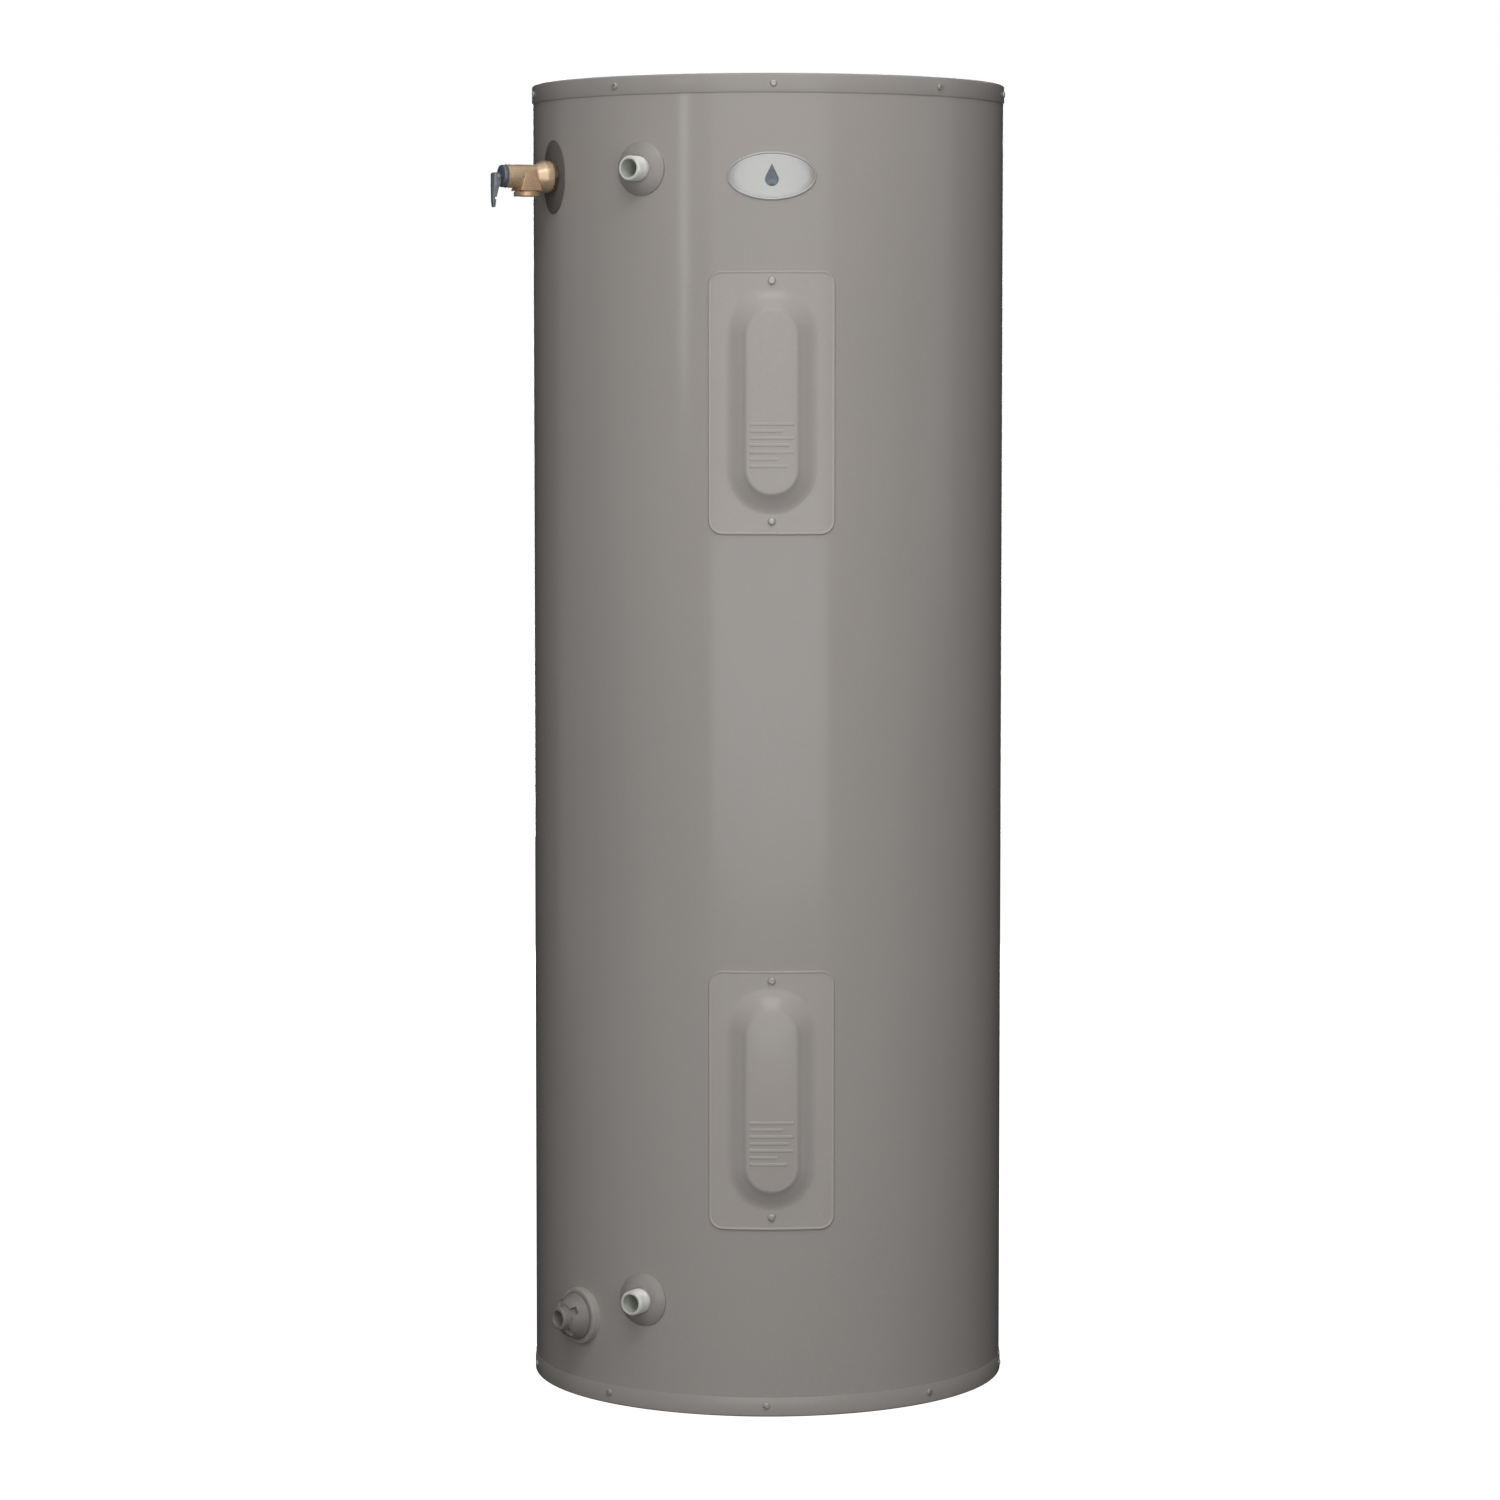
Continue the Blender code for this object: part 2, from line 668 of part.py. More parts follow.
def relief_valve_body():
    inner = shank_end()
    neck, dome, barrel = RELIEF_NECK_END, RELIEF_DOME_RADIUS, RELIEF_BARREL_RADIUS
    profile = [(0, inner), (PIPE_RADIUS, inner), (PIPE_RADIUS, neck), (dome - 0.0006, neck)]
    profile += [(dome, neck + 0.006), (dome - 0.001, neck + 0.012), (barrel + 0.001, RELIEF_DOME_END - 0.002)]
    profile += [(barrel, RELIEF_DOME_END), (barrel, RELIEF_BARREL_END), (0, RELIEF_BARREL_END)]
    place = relief_place()
    body = add_object("relief_valve_body", turned(profile, 20), "brass", place)

    hexagon = prism(circle_outline(RELIEF_HEX, 6), 0.0025, neck + 0.001)
    rib = [(-0.0060, -0.0070), (0.0060, -0.0070), (0.0130, 0.0160), (-0.0130, 0.0160)]
    half = barrel + 0.0006
    # The rib's outline runs along the valve and down, and it is extruded across the valve.
    across = Matrix(((0, 0, 1, 0), (0, -1, 0, 0), (1, 0, 0, RELIEF_OUTLET), (0, 0, 0, 1)))
    downward = place @ Matrix.Translation((0, 0, RELIEF_OUTLET)) @ Matrix.Rotation(math.radians(90), 4, "X")
    combine(body, add_tool("relief_hex_tool", hexagon, place), "UNION")
    combine(body, add_tool("relief_rib_tool", prism(rib, -half, half), place @ across), "UNION")
    combine(body, add_tool("relief_flange_tool", turned(outlet_profile(), 20), downward), "UNION")

    chamber = prism(circle_outline(RELIEF_CHAMBER, 20), RELIEF_SEAT, RELIEF_BARREL_END + 0.005)
    inlet = prism(circle_outline(RELIEF_INLET, 20), inner - 0.005, RELIEF_SEAT + 0.001)
    combine(body, add_tool("relief_chamber_tool", chamber, place))
    combine(body, add_tool("relief_inlet_tool", inlet, place))
    combine(body, add_tool("relief_socket_tool", turned(socket_profile(), 20), downward))
    return body


def outlet_profile():
    """Solid outlet boss, measured down from the valve's axis."""
    drop, r = RELIEF_OUTLET_DROP, RELIEF_OUTLET_RADIUS
    return [(0, 0.004), (0.0100, 0.004), (0.0125, drop - 0.0065), (r, drop - 0.0055), (r, drop), (0, drop)]


def socket_profile():
    """Threaded socket and the passage up from it into the spring chamber."""
    drop, r, passage = RELIEF_OUTLET_DROP, RELIEF_SOCKET, 0.0055
    floor, end = drop - RELIEF_SOCKET_DEPTH, drop + 0.005
    return [(0, 0.001), (passage, 0.001), (passage, floor), (r, floor), (r, end), (0, end)]


def relief_cap():
    bottom, top = RELIEF_BARREL_END + FIT, RELIEF_BARREL_END + FIT + RELIEF_CAP
    r, hole = RELIEF_BARREL_RADIUS - 0.0006, RELIEF_STEM_RADIUS + FIT
    profile = [(hole, bottom), (r, bottom), (r, top - 0.001), (r - 0.001, top), (hole, top)]
    return add_object("relief_cap", turned(profile, 20, ring=True), "lever_steel", relief_place())


def lever_pivot():
    """Distance of the lever's pin from the jacket."""
    return RELIEF_BARREL_END + FIT + RELIEF_CAP + LEVER_PIN_STANDOFF


def relief_stem():
    """Valve disc and its rod, with the flat eye that the lever's pin goes through."""
    pivot = lever_pivot()
    disc = RELIEF_CHAMBER - 0.0010
    low = RELIEF_SEAT + FIT
    profile = [(0, low), (disc, low), (disc, low + 0.0022), (RELIEF_STEM_RADIUS, low + 0.0032)]
    profile += [(RELIEF_STEM_RADIUS, pivot), (0, pivot)]
    place = relief_place()
    stem = add_object("relief_stem", turned(profile, 16), "brass", place)
    half = LEVER_WIDTH / 2 - LEVER_EAR
    radius = LEVER_FRONT - LEVER_THICKNESS - LEVER_CLEARANCE
    root = 0.0030
    outline = [(root, -radius), (root, radius)] + arc((0, 0), radius, 90, 270, 8)
    eye = prism(outline, -half, half)
    across = place @ Matrix.Translation((0, 0, pivot)) @ Matrix.Rotation(math.radians(90), 4, "Y")
    hole = prism(circle_outline(PIN_RADIUS + FIT, 12), -LEVER_WIDTH, LEVER_WIDTH)
    combine(stem, add_tool("stem_eye_tool", eye, across), "UNION")
    combine(stem, add_tool("stem_hole_tool", hole, across))
    return stem


def relief_lever():
    """Bent strip with two ears round the stem's eye; it hangs from the pin."""
    pivot = lever_pivot()
    front = LEVER_FRONT
    back = front - LEVER_THICKNESS
    heel, top, ear = 0.0034, 0.0037, -0.0062
    bow = 0.0016
    steps = 6
    down = [ear - (LEVER_LENGTH + ear) * i / steps for i in range(steps + 1)]
    sway = [bow * math.sin(math.pi * i / steps) - 0.0018 * (i / steps) ** 2 for i in range(steps + 1)]
    outline = [(-heel, ear * 0.35), (-heel * 0.5, top), (front - 0.001, top), (front, top - 0.001)]
    outline += [(front + s, y) for s, y in zip(sway, down)]
    outline += [(back + s, y) for s, y in zip(sway[::-1], down[::-1])]
    lever_bm = prism(outline, -LEVER_WIDTH / 2, LEVER_WIDTH / 2)
    # The outline is (out, up); it is extruded across the valve.
    turn = Matrix(((0, 0, -1, 0), (0, 1, 0, 0), (1, 0, 0, 0), (0, 0, 0, 1)))
    lever_bm.transform(turn)
    place = relief_place() @ Matrix.Translation((0, 0, pivot))
    lever = add_object("relief_lever", lever_bm, "lever_steel", place)
    half = LEVER_WIDTH / 2 - LEVER_EAR + FIT
    slot = block((-half, -0.02, -0.02), (half, 0.02, back))
    across = place @ Matrix.Rotation(math.radians(90), 4, "Y")
    hole = prism(circle_outline(PIN_RADIUS + FIT, 12), -LEVER_WIDTH, LEVER_WIDTH)
    combine(lever, add_tool("lever_slot_tool", slot, place))
    combine(lever, add_tool("lever_hole_tool", hole, across))
    return lever


def lever_pin():
    pivot = Matrix.Translation((0, 0, lever_pivot()))
    place = relief_place() @ pivot @ Matrix.Rotation(math.radians(90), 4, "Y")
    half = LEVER_WIDTH / 2
    head = PIN_RADIUS + 0.0008
    profile = [(0, -half - 0.0012), (head, -half - 0.0012), (head, -half - FIT), (PIN_RADIUS, -half - FIT)]
    profile += [(PIN_RADIUS, half + FIT), (head, half + FIT), (head, half + 0.0012), (0, half + 0.0012)]
    return add_object("lever_pin", turned(profile, 12), "plated_steel", place)


def relief_spring():
    start = RELIEF_SEAT + FIT + 0.0032 + SPRING_WIRE + FIT
    end = RELIEF_BARREL_END - SPRING_WIRE
    steps = 8
    points = []
    for i in range(SPRING_TURNS * steps + 1):
        t = i / (SPRING_TURNS * steps)
        turn = math.tau * SPRING_TURNS * t
        across, up = SPRING_RADIUS * math.cos(turn), SPRING_RADIUS * math.sin(turn)
        points.append((across, up, start + (end - start) * t))
    return add_object("relief_spring", swept(points, SPRING_WIRE, 5), "plated_steel", relief_place())


def relief_probe():
    """Heat-sensing tube that reaches into the water."""
    near = shank_end() - FIT
    collar, rod, length = 0.0090, 0.0048, 0.100
    profile = [(0, near - length), (rod, near - length), (rod, near - 0.004), (collar, near - 0.004)]
    profile += [(collar, near), (0, near)]
    return add_object("relief_probe", turned(profile, 16), "incoloy", relief_place())


# --- Drain valve ---


def drain_place():
    return on_jacket(DRAIN_AZIMUTH, DRAIN_Z)


def drain_escutcheon():
    r, rise, edge = DRAIN_DRUM_RADIUS, DRAIN_DRUM_RISE, 0.0015
    hole = PIPE_RADIUS + FIT
    profile = [(hole, FIT), (r, FIT), (r, rise - edge), (r - edge, rise), (hole, rise)]
    return add_object("drain_escutcheon", turned(profile, 20, ring=True), "grey_plastic", drain_place())


def drain_body():
    """Threaded shank with the seat at its inner end."""
    inner, outer, bore = shank_end(), 0.0120, DRAIN_SLEEVE_RADIUS + FIT
    seat = inner + 0.003
    profile = [(DRAIN_SEAT_BORE, inner), (PIPE_RADIUS, inner), (PIPE_RADIUS, outer), (bore, outer)]
    profile += [(bore, seat), (DRAIN_SEAT_BORE, seat)]
    return add_object("drain_body", turned(profile, 20, ring=True), "grey_plastic", drain_place())


def drain_seal_washer():
    low = shank_end() + 0.003 + FIT
    high, r = low + 0.0025, DRAIN_SLEEVE_RADIUS - 0.0008
    washer = turned([(0, low), (r, low), (r, high), (0, high)], 16)
    return add_object("drain_seal_washer", washer, "rubber", drain_place())


def drain_handwheel():
    """Conical grip with the hose spout in its middle and the sleeve that presses the washer."""
    sleeve_end = shank_end() + 0.003 + 0.0025 + 2 * FIT
    base = DRAIN_DRUM_RISE + FIT
    wall, cone, neck = 0.0025, DRAIN_CONE_RADIUS, DRAIN_NECK_RADIUS
    shoulder = 0.0235
    profile = [(DRAIN_BORE, sleeve_end), (DRAIN_SLEEVE_RADIUS, sleeve_end), (DRAIN_SLEEVE_RADIUS, 0.0155)]
    profile += [(PIPE_RADIUS + 0.001, 0.0155), (cone - wall, base), (cone, base), (cone, base + 0.002)]
    profile += [(neck, shoulder), (DRAIN_SPOUT_RADIUS, shoulder + 0.001)]
    profile += [(DRAIN_SPOUT_RADIUS, DRAIN_REACH - 0.001)]
    profile += [(DRAIN_SPOUT_RADIUS - 0.001, DRAIN_REACH), (DRAIN_BORE, DRAIN_REACH)]
    place = drain_place()
    wheel = add_object("drain_handwheel", turned(profile, 20, ring=True), "grey_plastic", place)
    notches = []
    for i in range(4):
        notch = block((DRAIN_SPOUT_RADIUS + 0.0015, -0.0025, 0.0185), (0.030, 0.0025, 0.030))
        notches.append((Matrix.Rotation(math.tau * i / 4, 4, "Z"), notch))
    port = prism(circle_outline(0.003, 12), -0.02, 0.02)
    port_place = Matrix.Translation((0, 0, sleeve_end + 0.008)) @ Matrix.Rotation(math.radians(90), 4, "Y")
    combine(wheel, add_tool("drain_notch_tool", merged(*notches), place))
    combine(wheel, add_tool("drain_port_tool", port, place @ port_place))
    return wheel


# --- Badge, panels and screws ---


def badge():
    outer = oval_outline(*BADGE_SIZE, 28)
    rim = oval_outline(BADGE_SIZE[0] - 0.004, BADGE_SIZE[1] - 0.004, 28)
    dome = oval_outline(BADGE_SIZE[0] * 0.6, BADGE_SIZE[1] * 0.6, 28)
    loops = [(outer, FIT), (outer, 0.0010), (rim, 0.0014), (dome, BADGE_RISE)]
    return add_object("badge", bent(lofted(loops), JACKET_RADIUS), "badge_silver", on_jacket(0, BADGE_Z))


def access_panel(name, z):
    """Lapped cover plate with a raised pill-shaped boss, all of one thickness of steel."""
    steps = 4
    low = FIT
    plate = rounded_outline(PANEL_WIDTH, PANEL_HEIGHT, PANEL_CORNER, steps)
    inner_size = PANEL_WIDTH - 2 * PANEL_HEM, PANEL_HEIGHT - 2 * PANEL_HEM
    field = rounded_outline(*inner_size, PANEL_CORNER - PANEL_HEM, steps)

    def pill(margin):
        width, height = PILL_WIDTH + 2 * margin, PANEL_HEIGHT - 2 * (PILL_MARGIN - margin)
        outline = rounded_outline(width, height, width / 2 - 0.0001, steps)
        return [(x + PILL_OFFSET[0], y + PILL_OFFSET[1]) for x, y in outline]

    loops = [
        (pill(-SHEET), low + PILL_RISE),
        (pill(PILL_SKIRT - SHEET), low),
        (field, low),
        (plate, low),
        (plate, low + SHEET + PANEL_HEM_RISE),
        (field, low + SHEET + PANEL_HEM_RISE),
        (pill(PILL_SKIRT), low + SHEET),
        (pill(0), low + PILL_RISE + SHEET),
    ]
    return add_object(name, bent(lofted(loops), JACKET_RADIUS), "jacket_paint", on_jacket(0, z))


def insulation_pad(name, z):
    top = -FIT
    width, height = (size - 2 * margin for size, margin in zip(opening_size(), PAD_MARGIN))
    outline = rounded_outline(width, height, 0.006, 2)
    bm = prism(outline, top - PAD_THICKNESS, top)
    return add_object(name, bent(bm, JACKET_RADIUS), "fibre_pad", on_jacket(0, z))


def screw(name, head, length, seat, place, material_name="screw_zinc"):
    """Pan-head screw with a square recess; its head rests on the surface at height `seat`."""
    low = seat + FIT
    height = head * 0.62
    profile = [(0, -length), (SCREW_SHANK, -length + 0.001)]
    profile += [(SCREW_SHANK, low), (head, low), (head, low + height * 0.4), (head * 0.7, low + height)]
    profile += [(head * 0.32, low + height), (head * 0.28, low + height * 0.45), (0, low + height * 0.45)]
    return add_object(name, turned(profile, 8), material_name, place)


def panel_screws(panel_name, panel_z):
    seat = FIT + SHEET + PANEL_HEM_RISE
    for where, z in zip(("top", "bottom"), panel_screw_heights(panel_z)):
        screw(f"{panel_name}_screw_{where}", PANEL_SCREW_HEAD, PANEL_SCREW_LENGTH, seat, on_jacket(0, z))


def rim_screws():
    sides = ("left", "front", "right")
    for rim, places in zip(("cap", "base"), rim_screw_places()):
        for side, place in zip(sides, places):
            screw(f"{rim}_screw_{side}", RIM_SCREW_HEAD, RIM_SCREW_LENGTH, 0.0, place)


# --- Controls behind the panels ---


def element_seat():
    return TANK_RADIUS + BOSS_HEIGHT


def heating_element(name, z):
    """Screw-in element: plug, hexagon, terminal block and the hairpin rod in the water."""
    low = GASKET_HEIGHT + 2 * FIT
    hexagon_top = low + ELEMENT_HEX_HEIGHT
    inside = -(BOSS_HEIGHT + TANK_WALL + 0.006)
    profile = [(0, inside), (ELEMENT_PLUG_RADIUS, inside), (ELEMENT_PLUG_RADIUS, low + 0.001)]
    profile += [(0.0140, low + 0.001), (0.0140, hexagon_top + 0.005), (0, hexagon_top + 0.005)]
    place = outward(0, element_seat(), z)
    element = add_object(name, turned(profile, 20), "incoloy", place)
    turn, reach = ELEMENT_ROD_SPREAD, ELEMENT_ROD_REACH
    path = [(-turn, 0, inside + 0.004), (-turn, 0, inside - reach * 0.5), (-turn, 0, inside - reach)]
    bend = [math.pi * i / 6 for i in range(1, 6)]
    path += [(-turn * math.cos(a), 0, inside - reach - turn * math.sin(a)) for a in bend]
    path += [(turn, 0, inside - reach), (turn, 0, inside - reach * 0.5), (turn, 0, inside + 0.004)]
    rod = swept(path, ELEMENT_ROD_RADIUS, 8)
    hexagon = prism(circle_outline(ELEMENT_HEX, 6), low, hexagon_top)
    combine(element, add_tool(f"{name}_hex_tool", hexagon, place), "UNION")
    combine(element, add_tool(f"{name}_rod_tool", rod, place), "UNION")
    return element


def element_gasket(name, z):
    low, high = FIT, FIT + GASKET_HEIGHT
    hole = ELEMENT_PLUG_RADIUS + FIT
    profile = [(hole, low), (GASKET_RADIUS, low), (GASKET_RADIUS, high), (hole, high)]
    return add_object(name, turned(profile, 20, ring=True), "rubber", outward(0, element_seat(), z))


def control_block(name, size, z):
    """Moulded block that lies against the tank."""
    width, height, depth = size
    outline = rounded_outline(width, height, 0.004, 2)
    place = outward(0, TANK_RADIUS + FIT, z)
    return add_object(name, prism(outline, 0, depth), "black_phenolic", place)


def thermostat_dial(name, panel_z):
    x, y = DIAL_PLACE
    front = TANK_RADIUS + FIT + CONTROL_SIZE[2] + FIT
    place = outward(0, front, control_z(panel_z) + y) @ Matrix.Translation((x, 0, 0))
    edge, half, depth = 0.0008, 0.0008, 0.0015
    profile = [(0, 0), (DIAL_RADIUS, 0), (DIAL_RADIUS - edge, DIAL_HEIGHT), (0, DIAL_HEIGHT)]
    dial = add_object(name, turned(profile, 24), "white_plastic", place)
    reach = DIAL_RADIUS * 0.7
    slot = block((-half, -reach, DIAL_HEIGHT - depth), (half, reach, DIAL_HEIGHT + depth))
    combine(dial, add_tool(f"{name}_slot_tool", slot, place))
    return dial


def thermostat_bracket(name, panel_z):
    """Spring plate round the element's hexagon that presses the thermostat to the tank."""
    width, thick = BRACKET_SIZE
    centre = control_z(panel_z)
    element = element_z(panel_z)
    top = CONTROL_SIZE[1] / 2 - 0.002
    bottom = element - centre - ELEMENT_HEX - 0.004
    front = TANK_RADIUS + 2 * FIT + CONTROL_SIZE[2]
    place = outward(0, front, centre)
    plate = block((-width / 2, bottom, 0), (width / 2, top, thick))
    bracket = add_object(name, plate, "galvanised", place)
    half = CONTROL_SIZE[0] / 2 - 0.004
    sill = element - centre + ELEMENT_HEX + 0.004
    window = block((-half, sill, -0.01), (half, CONTROL_SIZE[1] / 2 - 0.010, 0.01))
    nut = prism(circle_outline(ELEMENT_HEX + 0.0015, 20, (0, element - centre)), -0.01, 0.01)
    combine(bracket, add_tool(f"{name}_window_tool", window, place))
    combine(bracket, add_tool(f"{name}_nut_tool", nut, place))
    return bracket


def high_limit_control():
    limit = control_block("high_limit_control", LIMIT_SIZE, limit_z(UPPER_PANEL_Z))
    place = outward(0, TANK_RADIUS + FIT + LIMIT_SIZE[2], limit_z(UPPER_PANEL_Z))
    depth = BUTTON_LENGTH + 0.0005
    hole = prism(circle_outline(BUTTON_RADIUS + FIT, 16), -depth, 0.01)
    combine(limit, add_tool("reset_hole_tool", hole, place))
    return limit


def reset_button():
    low = -BUTTON_LENGTH + BUTTON_TRAVEL + 0.0001
    high = low + BUTTON_LENGTH + 0.0005
    place = outward(0, TANK_RADIUS + FIT + LIMIT_SIZE[2], limit_z(UPPER_PANEL_Z))
    profile = [(0, low), (BUTTON_RADIUS, low), (BUTTON_RADIUS, high - 0.0006)]
    profile += [(BUTTON_RADIUS - 0.0008, high), (0, high)]
    return add_object("reset_button", turned(profile, 16), "red_plastic", place)


# --- Junction box and cables ---


def junction_box():
    """Open steel box hung under the cap by its flange."""
    width, depth, height = JUNCTION_SIZE
    top = CAP_UNDERSIDE - FIT
    outline = rounded_outline(width, depth, 0.004, 2)
    flange = rounded_outline(width + 2 * JUNCTION_FLANGE, depth + 2 * JUNCTION_FLANGE, 0.006, 2)
    inside = rounded_outline(width - 2 * SHEET, depth - 2 * SHEET, 0.004 - SHEET, 2)
    loops = [(outline, top - height), (outline, top - SHEET), (flange, top - SHEET), (flange, top)]
    loops += [(inside, top), (inside, top - height + SHEET)]
    place = Matrix.Translation((0, JUNCTION_Y, 0))
    box = add_object("junction_box", lofted(loops), "galvanised", place)
    floor = top - height
    entry = prism(circle_outline(CABLE_HOLE, 12), floor - 0.01, floor + 0.01)
    ground = prism(circle_outline(SCREW_HOLE, 8), floor - 0.01, floor + 0.01)
    holes = [(Matrix.Translation((0, CABLE_ENTRY_Y, 0)), entry)]
    holes += [(Matrix.Translation((GROUND_X, 0, 0)), ground)] + cover_screw_holes(top)
    combine(box, add_tool("junction_hole_tool", merged(*holes), place))
    return box


def cover_screw_holes(z):
    """Holes for the cover's two screws, from the middle of the junction box."""
    holes = []
    for x in (-COVER_SCREW_X, COVER_SCREW_X):
        hole = prism(circle_outline(SCREW_HOLE, 8), z - 0.01, z + 0.01)
        holes.append((Matrix.Translation((x, 0, 0)), hole))
    return holes


def junction_pocket_tool():
    """Room in the foam for the junction box and its screws."""
    width, depth, height = JUNCTION_SIZE
    top = CAP_UNDERSIDE - FIT
    room = JUNCTION_FLANGE + FIT
    pocket = block(
        (-width / 2 - room, JUNCTION_Y - depth / 2 - room, top - height - 0.010),
        (width / 2 + room, JUNCTION_Y + depth / 2 + room, HEIGHT),
    )
    return add_tool("junction_pocket_tool", pocket)


def cap_opening_tool():
    """The hole in the cap over the junction box, and the holes for the cover's screws."""
    width, depth, _ = JUNCTION_SIZE
    outline = rounded_outline(width - 2 * SHEET, depth - 2 * SHEET, 0.004, 2)
    opening = prism(outline, CAP_UNDERSIDE - 0.01, HEIGHT + 0.01)
    cuts = [(Matrix.Identity(4), opening)] + cover_screw_holes(HEIGHT - CAP_RECESS)
    return add_tool("cap_opening_tool", merged(*cuts), Matrix.Translation((0, JUNCTION_Y, 0)))


def junction_cover():
    """Flat cover with a raised knockout for the conduit fitting."""
    width, depth, _ = JUNCTION_SIZE
    low = HEIGHT - CAP_RECESS + FIT
    size = width + 2 * (JUNCTION_FLANGE + 0.001), depth + 2 * COVER_MARGIN
    outline = rounded_outline(*size, 0.006, 3)
    place = Matrix.Translation((0, JUNCTION_Y, 0))
    cover = add_object("junction_cover", prism(outline, low, low + SHEET), "jacket_paint", place)
    top = low + SHEET
    disc = prism(circle_outline(KNOCKOUT_RADIUS, 24), top - SHEET / 2, top + KNOCKOUT_RISE)
    combine(cover, add_tool("knockout_tool", disc, place), "UNION")
    combine(cover, add_tool("cover_hole_tool", merged(*cover_screw_holes(low)), place))
    return cover


def junction_screws():
    seat = FIT + SHEET
    for side, x in (("left", -COVER_SCREW_X), ("right", COVER_SCREW_X)):
        place = Matrix.Translation((x, JUNCTION_Y, HEIGHT - CAP_RECESS))
        screw(f"junction_cover_screw_{side}", RIM_SCREW_HEAD, 0.007, seat, place)
    place = Matrix.Translation((GROUND_X, JUNCTION_Y, CAP_UNDERSIDE - FIT - JUNCTION_SIZE[2] + SHEET))
    screw("ground_screw", 0.0040, 0.006, 0.0, place, "green_screw")


def cable(name, points):
    line = smooth_line(points, 3)
    return add_object(name, swept(line, CABLE_RADIUS, 8), "cable_sheath")


def supply_cable():
    floor = CAP_UNDERSIDE - FIT - JUNCTION_SIZE[2]
    start_y = JUNCTION_Y + CABLE_ENTRY_Y
    end_z = limit_z(UPPER_PANEL_Z) + LIMIT_SIZE[1] / 2 + FIT
    end_y = -(TANK_RADIUS + FIT + LIMIT_SIZE[2] / 2)
    points = [(0, start_y, floor + 0.012), (0, start_y, floor - 0.004), (0, -CABLE_LINE, floor - 0.045)]
    points += [(0, -CABLE_LINE, (floor + end_z) / 2), (0, -CABLE_LINE, end_z + 0.040)]
    points += [(0, end_y, end_z + 0.016), (0, end_y, end_z + 0.008), (0, end_y, end_z)]
    return cable("supply_cable", points)


def link_cable():
    start_z = control_z(UPPER_PANEL_Z) - CONTROL_SIZE[1] / 2 - FIT
    end_z = control_z(LOWER_PANEL_Z) + CONTROL_SIZE[1] / 2 + FIT
    y = -(TANK_RADIUS + FIT + LIMIT_SIZE[2] / 2)
    beside = ELEMENT_BOSS_RADIUS + CABLE_RADIUS + 0.008
    element = element_z(UPPER_PANEL_Z)
    gap_top, gap_bottom = UPPER_PANEL_Z - opening_size()[1] / 2, LOWER_PANEL_Z + opening_size()[1] / 2
    points = [(0.022, y, start_z), (0.022, y, start_z - 0.006), (0.024, y, start_z - 0.012)]
    points += [(beside, y + 0.001, element + 0.012)]
    points += [(beside, y + 0.001, element - 0.008), (0.016, y, gap_top + 0.012)]
    points += [(0.001, -CABLE_LINE, gap_top - 0.004)]
    points += [(0, -CABLE_LINE, gap_top - 0.060), (0, -CABLE_LINE, (gap_top + gap_bottom) / 2)]
    points += [(0, -CABLE_LINE, gap_bottom + 0.020), (0, y, end_z + 0.018)]
    points += [(0, y, end_z + 0.008), (0, y, end_z)]
    return cable("link_cable", points)


def cable_channel_tool():
    """Channels in the foam for the two cables, open towards the jacket."""
    half = CABLE_RADIUS + 0.003
    near, far = -(CABLE_LINE - CABLE_RADIUS - 0.003), -LIP_RADIUS
    between = ((0, far, LOWER_PANEL_Z), (0, near, UPPER_PANEL_Z))
    above = ((0, far, UPPER_PANEL_Z), (0, near + 0.022, CAP_UNDERSIDE - JUNCTION_SIZE[2]))
    cuts = []
    for low, high in (between, above):
        cuts.append((Matrix.Identity(4), block((-half, low[1], low[2]), (half, high[1], high[2]))))
    return add_tool("cable_channel_tool", merged(*cuts))


# --- Assembly ---


